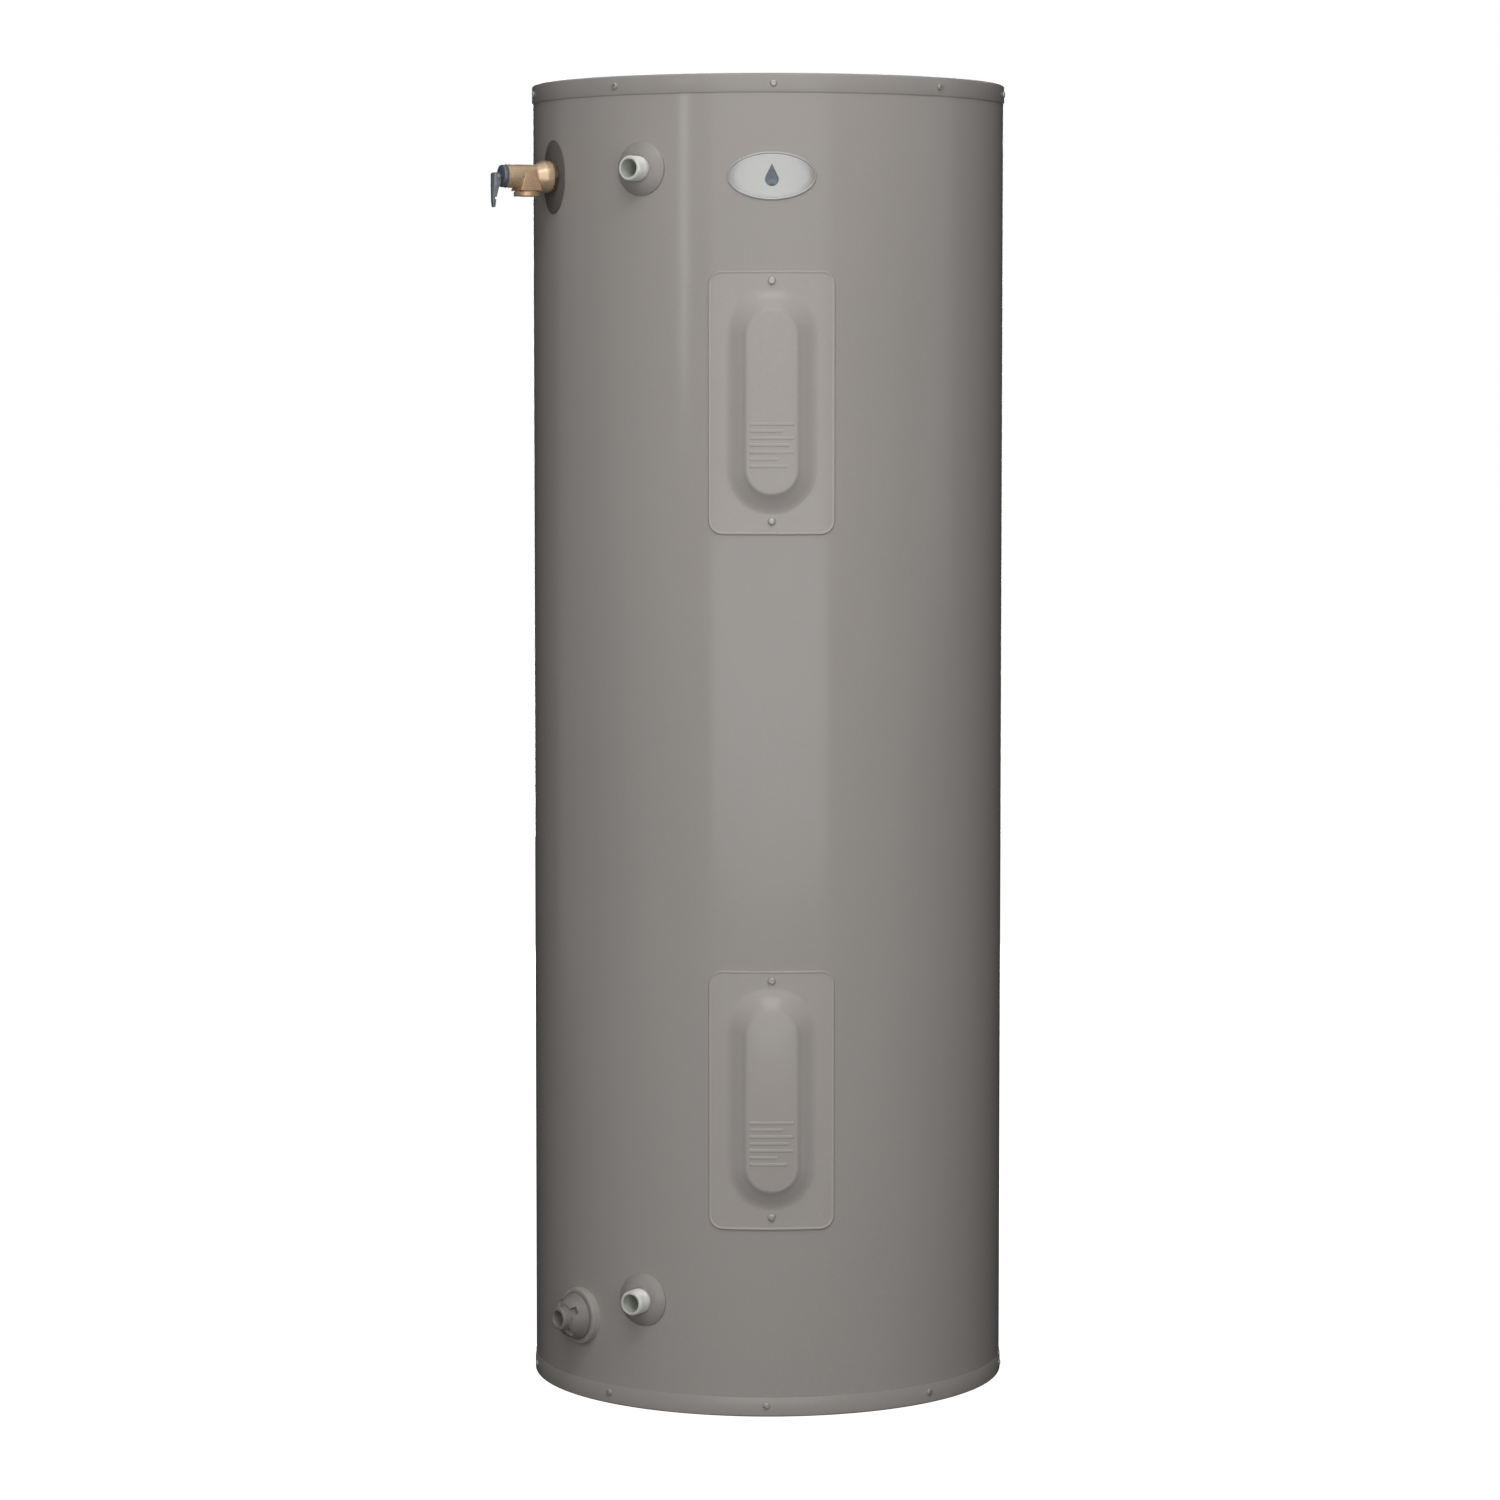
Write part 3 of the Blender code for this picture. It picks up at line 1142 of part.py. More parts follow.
def build():
    remove_everything()

    pan, cap, skin, foam = base_pan(), top_cap(), jacket(), foam_insulation()
    tank_shell()
    tank_top_head()
    tank_bottom_head()
    anode_rod()

    rim_holes, panel_holes, openings = rim_screw_tool(), panel_screw_tool(), opening_tool()
    pipe_holes = fitting_tool("jacket_hole_tool", PIPE_RADIUS + 0.0015, TANK_RADIUS, LIP_RADIUS * 1.1)
    foam_holes = fitting_tool("foam_hole_tool", BOSS_RADIUS + 0.001, TANK_RADIUS * 0.9, LIP_RADIUS * 1.1)
    anode_hole = add_tool(
        "anode_pocket_tool",
        prism(circle_outline(HEX_RADIUS + 0.003, 16), TANK_SHOULDER, HEIGHT + 0.01),
        Matrix.Translation((*ANODE_PLACE, 0)),
    )
    for lipped in (pan, cap):
        combine(lipped, rim_holes)
    combine(cap, cap_opening_tool())
    for tool in (rim_holes, panel_holes, openings, pipe_holes):
        combine(skin, tool)
    rooms = (control_room_tool(), junction_pocket_tool(), cable_channel_tool())
    for tool in (rim_holes, panel_holes, openings, foam_holes, anode_hole) + rooms:
        combine(foam, tool)

    for name, z in (("hot", HOT_Z), ("cold", COLD_Z)):
        nipple(f"{name}_nipple", z)
        escutcheon(f"{name}_escutcheon", z)

    relief_escutcheon()
    relief_valve_body()
    relief_cap()
    relief_stem()
    relief_lever()
    lever_pin()
    relief_spring()
    relief_probe()

    drain_escutcheon()
    drain_body()
    drain_seal_washer()
    drain_handwheel()

    badge()
    for name, z in (("upper", UPPER_PANEL_Z), ("lower", LOWER_PANEL_Z)):
        combine(access_panel(f"{name}_access_panel", z), panel_holes)
        panel_screws(f"{name}_panel", z)
        insulation_pad(f"{name}_insulation_pad", z)
        heating_element(f"{name}_heating_element", element_z(z))
        element_gasket(f"{name}_element_gasket", element_z(z))
        control_block(f"{name}_thermostat", CONTROL_SIZE, control_z(z))
        thermostat_dial(f"{name}_thermostat_dial", z)
        thermostat_bracket(f"{name}_thermostat_bracket", z)
    high_limit_control()
    reset_button()
    rim_screws()

    junction_box()
    junction_cover()
    junction_screws()
    supply_cable()
    link_cable()


build()
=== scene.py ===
"""Looks of a tank water heater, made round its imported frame.

Metres, +Z up, the heater stands on z = 0 and its service panels face -Y. Azimuths are in degrees
from the front, positive towards +X. Fittings are drawn along +Z and then turned outward.
"""

import math

import bmesh
import bpy
from mathutils import Matrix, Vector


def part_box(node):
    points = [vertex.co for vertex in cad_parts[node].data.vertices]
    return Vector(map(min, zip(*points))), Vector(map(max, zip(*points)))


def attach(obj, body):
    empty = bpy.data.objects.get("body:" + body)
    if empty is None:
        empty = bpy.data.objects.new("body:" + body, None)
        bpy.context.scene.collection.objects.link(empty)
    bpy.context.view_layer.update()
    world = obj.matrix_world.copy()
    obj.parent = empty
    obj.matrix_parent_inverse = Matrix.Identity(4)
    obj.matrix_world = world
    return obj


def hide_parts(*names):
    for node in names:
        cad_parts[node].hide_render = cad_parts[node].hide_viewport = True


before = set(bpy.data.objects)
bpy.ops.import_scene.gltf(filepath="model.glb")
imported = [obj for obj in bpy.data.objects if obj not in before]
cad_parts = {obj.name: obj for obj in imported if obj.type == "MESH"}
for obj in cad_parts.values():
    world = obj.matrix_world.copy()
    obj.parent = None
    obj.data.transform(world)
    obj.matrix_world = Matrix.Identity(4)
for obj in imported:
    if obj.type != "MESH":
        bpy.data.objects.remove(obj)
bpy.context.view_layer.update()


# --- Places and sizes, read from the frame ---


def middle(node):
    low, high = (Vector(corner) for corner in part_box(node))
    return (low + high) / 2


def azimuth_of(node):
    centre = middle(node)
    return math.degrees(math.atan2(centre.x, -centre.y))


CAP_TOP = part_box("top_cap")[1][2]
CAP_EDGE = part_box("top_cap")[0][2]
BASE_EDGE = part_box("base_pan")[1][2]
LIP_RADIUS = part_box("top_cap")[1][0]
JACKET_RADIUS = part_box("jacket")[1][0]
JACKET_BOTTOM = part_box("jacket")[0][2]
JACKET_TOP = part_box("jacket")[1][2]
CONNECTION_AZIMUTH = azimuth_of("hot_nipple")
RELIEF_AZIMUTH = azimuth_of("relief_cap")
DRAIN_AZIMUTH = azimuth_of("drain_escutcheon")
RELIEF_Z = middle("relief_cap").z
DRAIN_Z = middle("drain_escutcheon").z

SHEET = 0.0008
FIT = 0.0003
CAP_RECESS = 0.006
CAP_RIDGE = 0.010
EDGE_ROUND = 0.0025
PANEL_CORNER = 0.015
PANEL_LAP = (0.0115, 0.0220)
PILL_WIDTH = 0.055
PILL_HEIGHT = 0.197
PILL_SKIRT = 0.0178
PILL_RISE = 0.0114
PILL_LIFT = 0.001
PIPE_RADIUS = 0.01334
PIPE_BORE = 0.0095
NIPPLE_REACH = 0.025
ROOM_LIGHT = (-1.0, 1.0, 0.07, 0.02)  # from straight ahead of the heater to straight behind it
SEAM_WIDTH = 0.009
SPARE_SCREW_AZIMUTHS = (-80.0, -118.0, -157.0, 157.0, 118.0, 80.0)


def outward(azimuth, radius, z):
    """Frame at a place round the heater: +Z out, +Y up, +X along the surface."""
    a = math.radians(azimuth)
    across = Vector((math.cos(a), math.sin(a), 0.0))
    out = Vector((math.sin(a), -math.cos(a), 0.0))
    turned = Matrix((across, Vector((0.0, 0.0, 1.0)), out)).transposed().to_4x4()
    turned.translation = out * radius + Vector((0.0, 0.0, z))
    return turned


def on_jacket(azimuth, z):
    return outward(azimuth, JACKET_RADIUS, z)


# --- Modelling by hand ---


def set_down():
    """Leaves edit mode and deselects everything."""
    if bpy.context.object and bpy.context.object.mode != "OBJECT":
        bpy.ops.mesh.select_mode(type="VERT")
        bpy.ops.object.mode_set(mode="OBJECT")
    bpy.ops.object.select_all(action="DESELECT")


def take(*pieces):
    set_down()
    for piece in pieces:
        piece.select_set(True)
    bpy.context.view_layer.objects.active = pieces[0]


def named(name):
    piece = bpy.context.object
    piece.name = name
    piece.data.name = name
    return piece


def open_mesh(piece):
    take(piece)
    bpy.ops.object.mode_set(mode="EDIT")
    bpy.ops.mesh.select_all(action="DESELECT")


def pick_faces(piece, test):
    bpy.ops.mesh.select_mode(type="FACE")
    bpy.ops.mesh.select_all(action="DESELECT")
    mesh = bmesh.from_edit_mesh(piece.data)
    for face in mesh.faces:
        if test(face):
            face.select_set(True)
    bmesh.update_edit_mesh(piece.data)


def pick_edges(piece, test):
    bpy.ops.mesh.select_mode(type="EDGE")
    bpy.ops.mesh.select_all(action="DESELECT")
    mesh = bmesh.from_edit_mesh(piece.data)
    for edge in mesh.edges:
        if test(edge):
            edge.select_set(True)
    bmesh.update_edit_mesh(piece.data)


def apply_place(piece):
    take(piece)
    bpy.ops.object.transform_apply(location=True, rotation=True, scale=True)


def put(piece, place):
    apply_place(piece)
    piece.matrix_world = place
    apply_place(piece)
    return piece


def apply_modifier(piece, kind, **values):
    take(piece)
    modifier = piece.modifiers.new(kind.lower(), kind)
    for key, value in values.items():
        setattr(modifier, key, value)
    bpy.ops.object.modifier_apply(modifier=modifier.name)


def cut(piece, tool, operation="DIFFERENCE"):
    apply_modifier(piece, "BOOLEAN", object=tool, operation=operation, solver="EXACT")
    bpy.data.objects.remove(tool, do_unlink=True)


def joined(first, *others):
    take(first, *others)
    bpy.ops.object.join()
    return first


def set_normals(piece):
    open_mesh(piece)
    bpy.ops.mesh.select_all(action="SELECT")
    bpy.ops.mesh.remove_doubles(threshold=1e-6)
    bpy.ops.mesh.normals_make_consistent(inside=False)
    set_down()


def lathe(name, outline, sides, ring=False):
    """Draws the first (radius, height) point as a circle and extrudes it through the rest."""
    set_down()
    radius, height = outline[0]
    fill = "NOTHING" if ring else "NGON"
    bpy.ops.mesh.primitive_circle_add(vertices=sides, radius=radius, fill_type=fill, location=(0, 0, height))
    piece = named(name)
    bpy.ops.object.mode_set(mode="EDIT")
    bpy.ops.mesh.select_all(action="SELECT")
    closed = outline[1:] + outline[:1] if ring else outline[1:]
    for next_radius, next_height in closed:
        lift = (0, 0, next_height - height)
        bpy.ops.mesh.extrude_region_move(TRANSFORM_OT_translate={"value": lift})
        scale = next_radius / radius
        bpy.ops.transform.resize(value=(scale, scale, 1), center_override=(0, 0, next_height))
        radius, height = next_radius, next_height
    apply_place(piece)
    set_normals(piece)
    return piece


def box(name, low, high, edge=0.0, segments=2):
    """A block between two corners with rounded edges."""
    set_down()
    centre = [(a + b) / 2 for a, b in zip(low, high)]
    bpy.ops.mesh.primitive_cube_add(size=1, location=centre)
    piece = named(name)
    piece.scale = [b - a for a, b in zip(low, high)]
    apply_place(piece)
    if edge:
        apply_modifier(piece, "BEVEL", width=edge, segments=segments, limit_method="ANGLE")
    return piece


def drawn(name, outline, bottom, top, edge=0.0, segments=2):
    """A flat outline of (x, y) points pulled up from one height to another."""
    set_down()
    bpy.ops.mesh.primitive_circle_add(vertices=len(outline), radius=0.01, fill_type="NGON")
    piece = named(name)
    for vert, (x, y) in zip(piece.data.vertices, outline):
        vert.co = (x, y, bottom)
    open_mesh(piece)
    bpy.ops.mesh.select_all(action="SELECT")
    bpy.ops.mesh.extrude_region_move(TRANSFORM_OT_translate={"value": (0, 0, top - bottom)})
    apply_place(piece)
    set_normals(piece)
    if edge:
        apply_modifier(piece, "BEVEL", width=edge, segments=segments, limit_method="ANGLE")
    return piece


def arc(centre, radius, start, end, steps):
    angles = [math.radians(start + (end - start) * i / steps) for i in range(steps + 1)]
    return [(centre[0] + radius * math.cos(a), centre[1] + radius * math.sin(a)) for a in angles]


def rounded(width, height, corner, steps=8):
    x, y = width / 2 - corner, height / 2 - corner
    return (
        arc((x, y), corner, 0, 90, steps)
        + arc((-x, y), corner, 90, 180, steps)
        + arc((-x, -y), corner, 180, 270, steps)
        + arc((x, -y), corner, 270, 360, steps)
    )


def oval(width, height, steps):
    turn = [math.tau * i / steps for i in range(steps)]
    return [(width / 2 * math.cos(t), height / 2 * math.sin(t)) for t in turn]


def slice_upright(piece, spacing):
    """Cuts a flat piece into upright strips, so that it can be bent round the jacket."""
    width = max(abs(v.co.x) for v in piece.data.vertices)
    open_mesh(piece)
    count = math.floor(width / spacing)
    for i in range(-count, count + 1):
        bpy.ops.mesh.select_all(action="SELECT")
        bpy.ops.mesh.bisect(plane_co=(i * spacing, 0, 0), plane_no=(1, 0, 0))
    set_down()


def bend(piece, radius=None):
    """Bends a piece drawn flat on z = 0 round the jacket; it still faces +Z at its middle."""
    radius = radius or JACKET_RADIUS
    apply_place(piece)
    piece.matrix_world = Matrix.Rotation(math.radians(90), 4, "X")
    apply_place(piece)
    width = 2 * max(abs(v.co.x) for v in piece.data.vertices)
    apply_modifier(piece, "SIMPLE_DEFORM", deform_method="BEND", deform_axis="Z", angle=width / radius)
    piece.matrix_world = Matrix.Rotation(math.radians(-90), 4, "X")
    apply_place(piece)
    return piece


def copy_of(piece, name, place=None):
    twin = piece.copy()
    twin.data = piece.data.copy()
    twin.name = twin.data.name = name
    bpy.context.scene.collection.objects.link(twin)
    if place is not None:
        twin.matrix_world = place
        apply_place(twin)
    return twin


def finished(piece, material, body="heater", nodes=(), angle=32):
    """Shades a piece, gives it its material and fixes it to its body."""
    take(piece)
    piece.data.materials.clear()
    piece.data.materials.append(material)
    bpy.ops.object.shade_smooth_by_angle(angle=math.radians(angle))
    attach(piece, body)
    if nodes:
        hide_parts(*nodes)
    set_down()
    return piece


# --- Materials ---


class Paint:
    """A Principled material with a few shorthands for its nodes."""

    def __init__(self, name, colour, roughness, metallic=0.0):
        self.material = bpy.data.materials.new(name)
        self.material.use_nodes = True
        self.tree = self.material.node_tree
        self.shader = self.tree.nodes["Principled BSDF"]
        self.colour = colour
        self.shader.inputs["Base Color"].default_value = (*colour, 1.0)
        self.shader.inputs["Roughness"].default_value = roughness
        self.shader.inputs["Metallic"].default_value = metallic
        self.place = self.tree.nodes.new("ShaderNodeTexCoord").outputs["Object"]
        self.normal = None

    def link(self, output, socket):
        self.tree.links.new(output, socket)

    def stretched(self, scale):
        node = self.tree.nodes.new("ShaderNodeMapping")
        node.inputs["Scale"].default_value = scale
        self.link(self.place, node.inputs["Vector"])
        return node.outputs["Vector"]

    def noise(self, scale, detail=3.0, stretch=None, rough=0.5):
        node = self.tree.nodes.new("ShaderNodeTexNoise")
        node.inputs["Scale"].default_value = scale
        node.inputs["Detail"].default_value = detail
        node.inputs["Roughness"].default_value = rough
        self.link(self.stretched(stretch) if stretch else self.place, node.inputs["Vector"])
        return node.outputs["Fac"]

    def cells(self, scale, output="Distance"):
        node = self.tree.nodes.new("ShaderNodeTexVoronoi")
        node.inputs["Scale"].default_value = scale
        self.link(self.place, node.inputs["Vector"])
        return node.outputs[output]

    def between(self, value, low, high, to_low, to_high):
        node = self.tree.nodes.new("ShaderNodeMapRange")
        for key, number in zip(("From Min", "From Max", "To Min", "To Max"), (low, high, to_low, to_high)):
            node.inputs[key].default_value = number
        self.link(value, node.inputs["Value"])
        return node.outputs["Result"]

    def vary_colour(self, value, other, low=0.35, high=0.65):
        """Mixes towards another colour where a pattern is high."""
        node = self.tree.nodes.new("ShaderNodeMix")
        node.data_type = "RGBA"
        base = self.shader.inputs["Base Color"]
        if base.is_linked:
            self.link(base.links[0].from_socket, node.inputs[6])
        else:
            node.inputs[6].default_value = (*self.colour, 1.0)
        node.inputs[7].default_value = (*other, 1.0)
        self.link(self.between(value, low, high, 0.0, 1.0), node.inputs[0])
        self.link(node.outputs[2], base)

    def vary_roughness(self, value, least, most):
        self.link(self.between(value, 0.3, 0.7, least, most), self.shader.inputs["Roughness"])

    def bump(self, value, strength, distance):
        node = self.tree.nodes.new("ShaderNodeBump")
        node.inputs["Strength"].default_value = strength
        node.inputs["Distance"].default_value = distance
        self.link(value, node.inputs["Height"])
        if self.normal:
            self.link(self.normal, node.inputs["Normal"])
        self.normal = node.outputs["Normal"]
        self.link(self.normal, self.shader.inputs["Normal"])

    def set(self, **values):
        for key, value in values.items():
            self.shader.inputs[key.replace("_", " ")].default_value = value


def shade(colour, factor):
    return tuple(c * factor for c in colour)


def baked_enamel(name, colour, roughness=0.15):
    """Smooth baked paint on steel, with a faint orange peel and uneven gloss."""
    paint = Paint(name, colour, roughness)
    broad = paint.noise(3.0, 2.0)
    paint.vary_colour(broad, shade(colour, 0.965))
    paint.vary_colour(paint.noise(260.0, 2.0), shade(colour, 1.02), 0.5, 0.8)
    paint.vary_roughness(paint.noise(9.0, 4.0), roughness - 0.02, roughness + 0.03)
    paint.bump(paint.noise(55.0, 2.0), 0.035, 0.0008)
    paint.bump(paint.noise(420.0, 2.0), 0.05, 0.0002)
    paint.set(Specular_IOR_Level=0.22)
    return paint.material


def zinc_plate(name, colour=(0.62, 0.61, 0.58), roughness=0.32, metallic=1.0):
    paint = Paint(name, colour, roughness, metallic)
    paint.vary_colour(paint.cells(90.0, "Color"), shade(colour, 0.90), 0.3, 0.9)
    paint.vary_roughness(paint.noise(60.0, 4.0), roughness - 0.06, roughness + 0.14)
    paint.bump(paint.noise(700.0, 3.0), 0.10, 0.0002)
    return paint.material


def turned_brass(name, colour, roughness, rough_skin):
    """Brass with darker mottling; rough_skin is how strongly it shows its casting."""
    paint = Paint(name, colour, roughness, 0.55)
    paint.vary_colour(paint.noise(70.0, 5.0), shade(colour, 0.84))
    paint.vary_colour(paint.noise(400.0, 3.0), (0.92, 0.76, 0.56), 0.58, 0.85)
    paint.vary_roughness(paint.noise(120.0, 4.0), roughness - 0.05, roughness + 0.16)
    paint.bump(paint.noise(900.0, 4.0), rough_skin, 0.0003)
    paint.bump(paint.noise(160.0, 3.0), rough_skin * 0.6, 0.0006)
    return paint.material


def moulded_plastic(name, colour, roughness=0.45, grain=0.12):
    paint = Paint(name, colour, roughness)
    paint.vary_colour(paint.noise(45.0, 3.0), shade(colour, 0.9))
    paint.vary_roughness(paint.noise(90.0, 4.0), roughness - 0.06, roughness + 0.1)
    paint.bump(paint.noise(1400.0, 2.0), grain, 0.0001)
    return paint.material


def make_materials():
    grey = (0.468, 0.4385, 0.4165)
    made = {
        "jacket": baked_enamel("baked_grey_enamel", grey),
        # Lighter copy of the jacket enamel for the service panels: the extra lightness is a painted
        # reflection of the light the panels catch
        "panel": baked_enamel("panel_enamel_painted_reflection", shade(grey, 1.12), 0.16),
        "rim": baked_enamel("rim_enamel", shade(grey, 0.98), 0.22),
        "escutcheon": moulded_plastic("escutcheon_plastic", shade(grey, 0.90), 0.42),
        "drain": moulded_plastic("drain_plastic", shade(grey, 0.68), 0.48),
        "drum": moulded_plastic("drain_drum_plastic", shade(grey, 0.98), 0.46),
        "oval": moulded_plastic("oval_gasket_plastic", (0.150, 0.141, 0.131), 0.62, 0.2),
        "zinc": zinc_plate("zinc_plate"),
        "screw": zinc_plate("screw_zinc", (0.58, 0.575, 0.55), 0.42, 0.55),
        "liner": moulded_plastic("pipe_liner_plastic", (0.66, 0.68, 0.62), 0.35, 0.05),
        "pipe": zinc_plate("nipple_zinc", (0.97, 0.965, 0.94), 0.26, 0.08),
        "cast": turned_brass("cast_brass", (0.70, 0.47, 0.30), 0.42, 0.30),
        "machined": turned_brass("machined_brass", (0.82, 0.61, 0.40), 0.32, 0.08),
        # Near-black brass for the relief valve's hex neck and shank: painted shade, standing in for the
        # shadow the neck sits in
        "neck": turned_brass("brass_neck_painted_shade", (0.16, 0.12, 0.085), 0.50, 0.25),
        "galvanised": zinc_plate("galvanised_sheet", (0.50, 0.52, 0.54), 0.42),
        "rubber": moulded_plastic("black_rubber", (0.022, 0.022, 0.022), 0.75, 0.4),
        "phenolic": moulded_plastic("black_phenolic", (0.018, 0.018, 0.019), 0.38, 0.15),
        "red": moulded_plastic("red_button_plastic", (0.62, 0.025, 0.018), 0.30, 0.05),
        "white": moulded_plastic("white_dial_plastic", (0.78, 0.77, 0.73), 0.38, 0.08),
    }
    made["lever"] = lever_steel()
    made["cap"] = blue_grey_cap()
    made["badge"] = badge_metal()
    made["emblem"] = emblem_enamel()
    made["foam"] = poured_foam()
    made["pad"] = glass_fibre()
    made["tank"] = tank_enamel()
    made["magnesium"] = dull_metal("anode_magnesium", (0.45, 0.45, 0.43), 0.55)
    made["alloy"] = dull_metal("element_alloy", (0.24, 0.245, 0.25), 0.38)
    made["cable"] = moulded_plastic("cable_sheath", (0.76, 0.69, 0.42), 0.5, 0.1)
    made["earth"] = baked_enamel("green_earth_screw", (0.04, 0.30, 0.09), 0.3)
    return made


def lever_steel():
    colour = (0.235, 0.265, 0.285)
    paint = Paint("lever_steel", colour, 0.36, 0.45)
    paint.vary_colour(paint.noise(120.0, 4.0), shade(colour, 0.7))
    paint.vary_colour(paint.noise(30.0, 2.0), (0.38, 0.41, 0.43), 0.55, 0.75)
    paint.vary_roughness(paint.noise(200.0, 4.0), 0.28, 0.5)
    paint.bump(paint.noise(700.0, 3.0), 0.15, 0.0002)
    return paint.material


def blue_grey_cap():
    colour = (0.190, 0.220, 0.290)
    paint = Paint("cap_plating", colour, 0.34, 0.30)
    paint.vary_colour(paint.noise(90.0, 4.0), shade(colour, 0.6))
    paint.vary_roughness(paint.noise(160.0, 4.0), 0.26, 0.45)
    paint.bump(paint.noise(600.0, 3.0), 0.12, 0.0002)
    return paint.material


def badge_metal():
    """Satin silver plate with fine brushing along it."""
    colour = (0.53, 0.535, 0.525)
    paint = Paint("badge_silver", colour, 0.34, 0.45)
    brushed = paint.noise(1.0, 4.0, (110.0, 110.0, 5200.0))
    paint.vary_colour(brushed, shade(colour, 0.93))
    paint.vary_roughness(brushed, 0.28, 0.40)
    paint.bump(brushed, 0.05, 0.0001)
    return paint.material


def emblem_enamel():
    colour = (0.085, 0.110, 0.140)
    paint = Paint("emblem_enamel", colour, 0.22)
    paint.vary_colour(paint.noise(200.0, 3.0), shade(colour, 1.3))
    paint.bump(paint.noise(500.0, 2.0), 0.05, 0.0001)
    paint.set(Coat_Weight=0.5)
    return paint.material


def poured_foam():
    colour = (0.80, 0.72, 0.47)
    paint = Paint("poured_foam", colour, 0.92)
    paint.vary_colour(paint.noise(18.0, 5.0), (0.88, 0.82, 0.60))
    paint.vary_colour(paint.cells(240.0), (0.62, 0.52, 0.30), 0.45, 0.9)
    paint.bump(paint.cells(260.0), 0.6, 0.0012)
    return paint.material


def glass_fibre():
    colour = (0.82, 0.72, 0.36)
    paint = Paint("glass_fibre_pad", colour, 0.95)
    strands = paint.noise(1.0, 6.0, (900.0, 900.0, 160.0), 0.7)
    paint.vary_colour(strands, (0.93, 0.87, 0.62))
    paint.bump(strands, 0.7, 0.0012)
    paint.set(Sheen_Weight=0.3)
    return paint.material


def tank_enamel():
    colour = (0.055, 0.075, 0.105)
    paint = Paint("tank_steel", colour, 0.55, 0.3)
    paint.vary_colour(paint.noise(12.0, 5.0), (0.14, 0.12, 0.10), 0.5, 0.8)
    paint.bump(paint.noise(300.0, 4.0), 0.3, 0.0006)
    return paint.material


def dull_metal(name, colour, roughness):
    paint = Paint(name, colour, roughness, 1.0)
    paint.vary_colour(paint.noise(80.0, 5.0), shade(colour, 0.7))
    paint.vary_roughness(paint.noise(150.0, 4.0), roughness - 0.08, roughness + 0.15)
    paint.bump(paint.noise(500.0, 4.0), 0.25, 0.0003)
    return paint.material


# --- Casing ---


def jacket(materials):
    """Rolled sheet with its service openings and a folded seam at the back."""
    outline = [(JACKET_RADIUS - SHEET, JACKET_BOTTOM), (JACKET_RADIUS, JACKET_BOTTOM)]
    outline += [(JACKET_RADIUS, JACKET_TOP), (JACKET_RADIUS - SHEET, JACKET_TOP)]
    skin = lathe("jacket_skin", outline, 256, ring=True)
    for side in ("upper", "lower"):
        low, high = (Vector(c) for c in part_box(f"{side}_access_panel"))
        width, height = high.x - low.x - 2 * PANEL_LAP[0] + 0.0007, high.z - low.z - 2 * PANEL_LAP[1]
        tool = drawn("opening_tool", rounded(width, height, 0.010), -0.06, 0.06)
        cut(skin, put(tool, on_jacket(0, (low.z + high.z) / 2)))
    for azimuth, z in fitting_places():
        tool = lathe("hole_tool", [(PIPE_RADIUS + 0.0015, -0.05), (PIPE_RADIUS + 0.0015, 0.05)], 48)
        cut(skin, put(tool, on_jacket(azimuth, z)))
    finished(skin, materials["jacket"], nodes=["jacket"])

    half, sunk, rise = SEAM_WIDTH / 2, 0.0004, 0.0007
    low, high = (-half, CAP_EDGE - sunk, -sunk), (half, BASE_EDGE + sunk, rise)
    seam = box("jacket_seam", low, high, 0.0005)
    finished(put(seam, outward(180, JACKET_RADIUS, 0)), materials["jacket"])


def fitting_places():
    return (
        (CONNECTION_AZIMUTH, middle("hot_nipple").z),
        (CONNECTION_AZIMUTH, middle("cold_nipple").z),
        (RELIEF_AZIMUTH, RELIEF_Z),
        (DRAIN_AZIMUTH, DRAIN_Z),
    )


def top_cap(materials):
    """Lipped cap with a rolled ridge and the opening of the junction box."""
    r, top, low = LIP_RADIUS, CAP_TOP, CAP_TOP - CAP_RECESS
    inner = r - CAP_RIDGE
    outline = [(0.002, low), (inner - CAP_RECESS - 0.0015, low)]
    outline += arc((inner - CAP_RECESS - 0.0015, low + 0.0015), 0.0015, -90, -45, 3)[1:]
    outline += arc((inner, top - 0.002), 0.002, 135, 90, 4)
    outline += arc((r - EDGE_ROUND, top - EDGE_ROUND), EDGE_ROUND, 90, 0, 6)
    outline += [(r, CAP_EDGE + 0.0004), (r - 0.0002, CAP_EDGE)]
    outline += [(r - SHEET + 0.0002, CAP_EDGE), (r - SHEET, CAP_EDGE + 0.0004)]
    outline += [(r - SHEET, top - EDGE_ROUND), (r - EDGE_ROUND, top - SHEET), (inner + 0.0003, top - SHEET)]
    outline += [(inner - CAP_RECESS + 0.0003, low - SHEET), (0.002, low - SHEET)]
    cap = lathe("top_cap_shell", outline, 256)
    low_corner, high_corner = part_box("junction_box")
    reach = (0.0088, 0.0088)
    tool = box(
        "junction_tool",
        (low_corner[0] + reach[0], low_corner[1] + reach[1], low - 0.01),
        (high_corner[0] - reach[0], high_corner[1] - reach[1], low + 0.01),
    )
    cut(cap, tool)
    finished(cap, materials["rim"], nodes=["top_cap"], angle=40)


def base_pan(materials):
    r, t = LIP_RADIUS, 0.0012
    outline = [(0.002, 0.0)] + arc((r - EDGE_ROUND, EDGE_ROUND), EDGE_ROUND, -90, 0, 6)
    outline += [(r, BASE_EDGE - 0.0004), (r - 0.0002, BASE_EDGE), (r - SHEET + 0.0002, BASE_EDGE)]
    outline += [(r - SHEET, BASE_EDGE - 0.0004), (r - SHEET, t), (0.002, t)]
    finished(lathe("base_pan_shell", outline, 256), materials["rim"], nodes=["base_pan"], angle=40)


# --- Screws ---


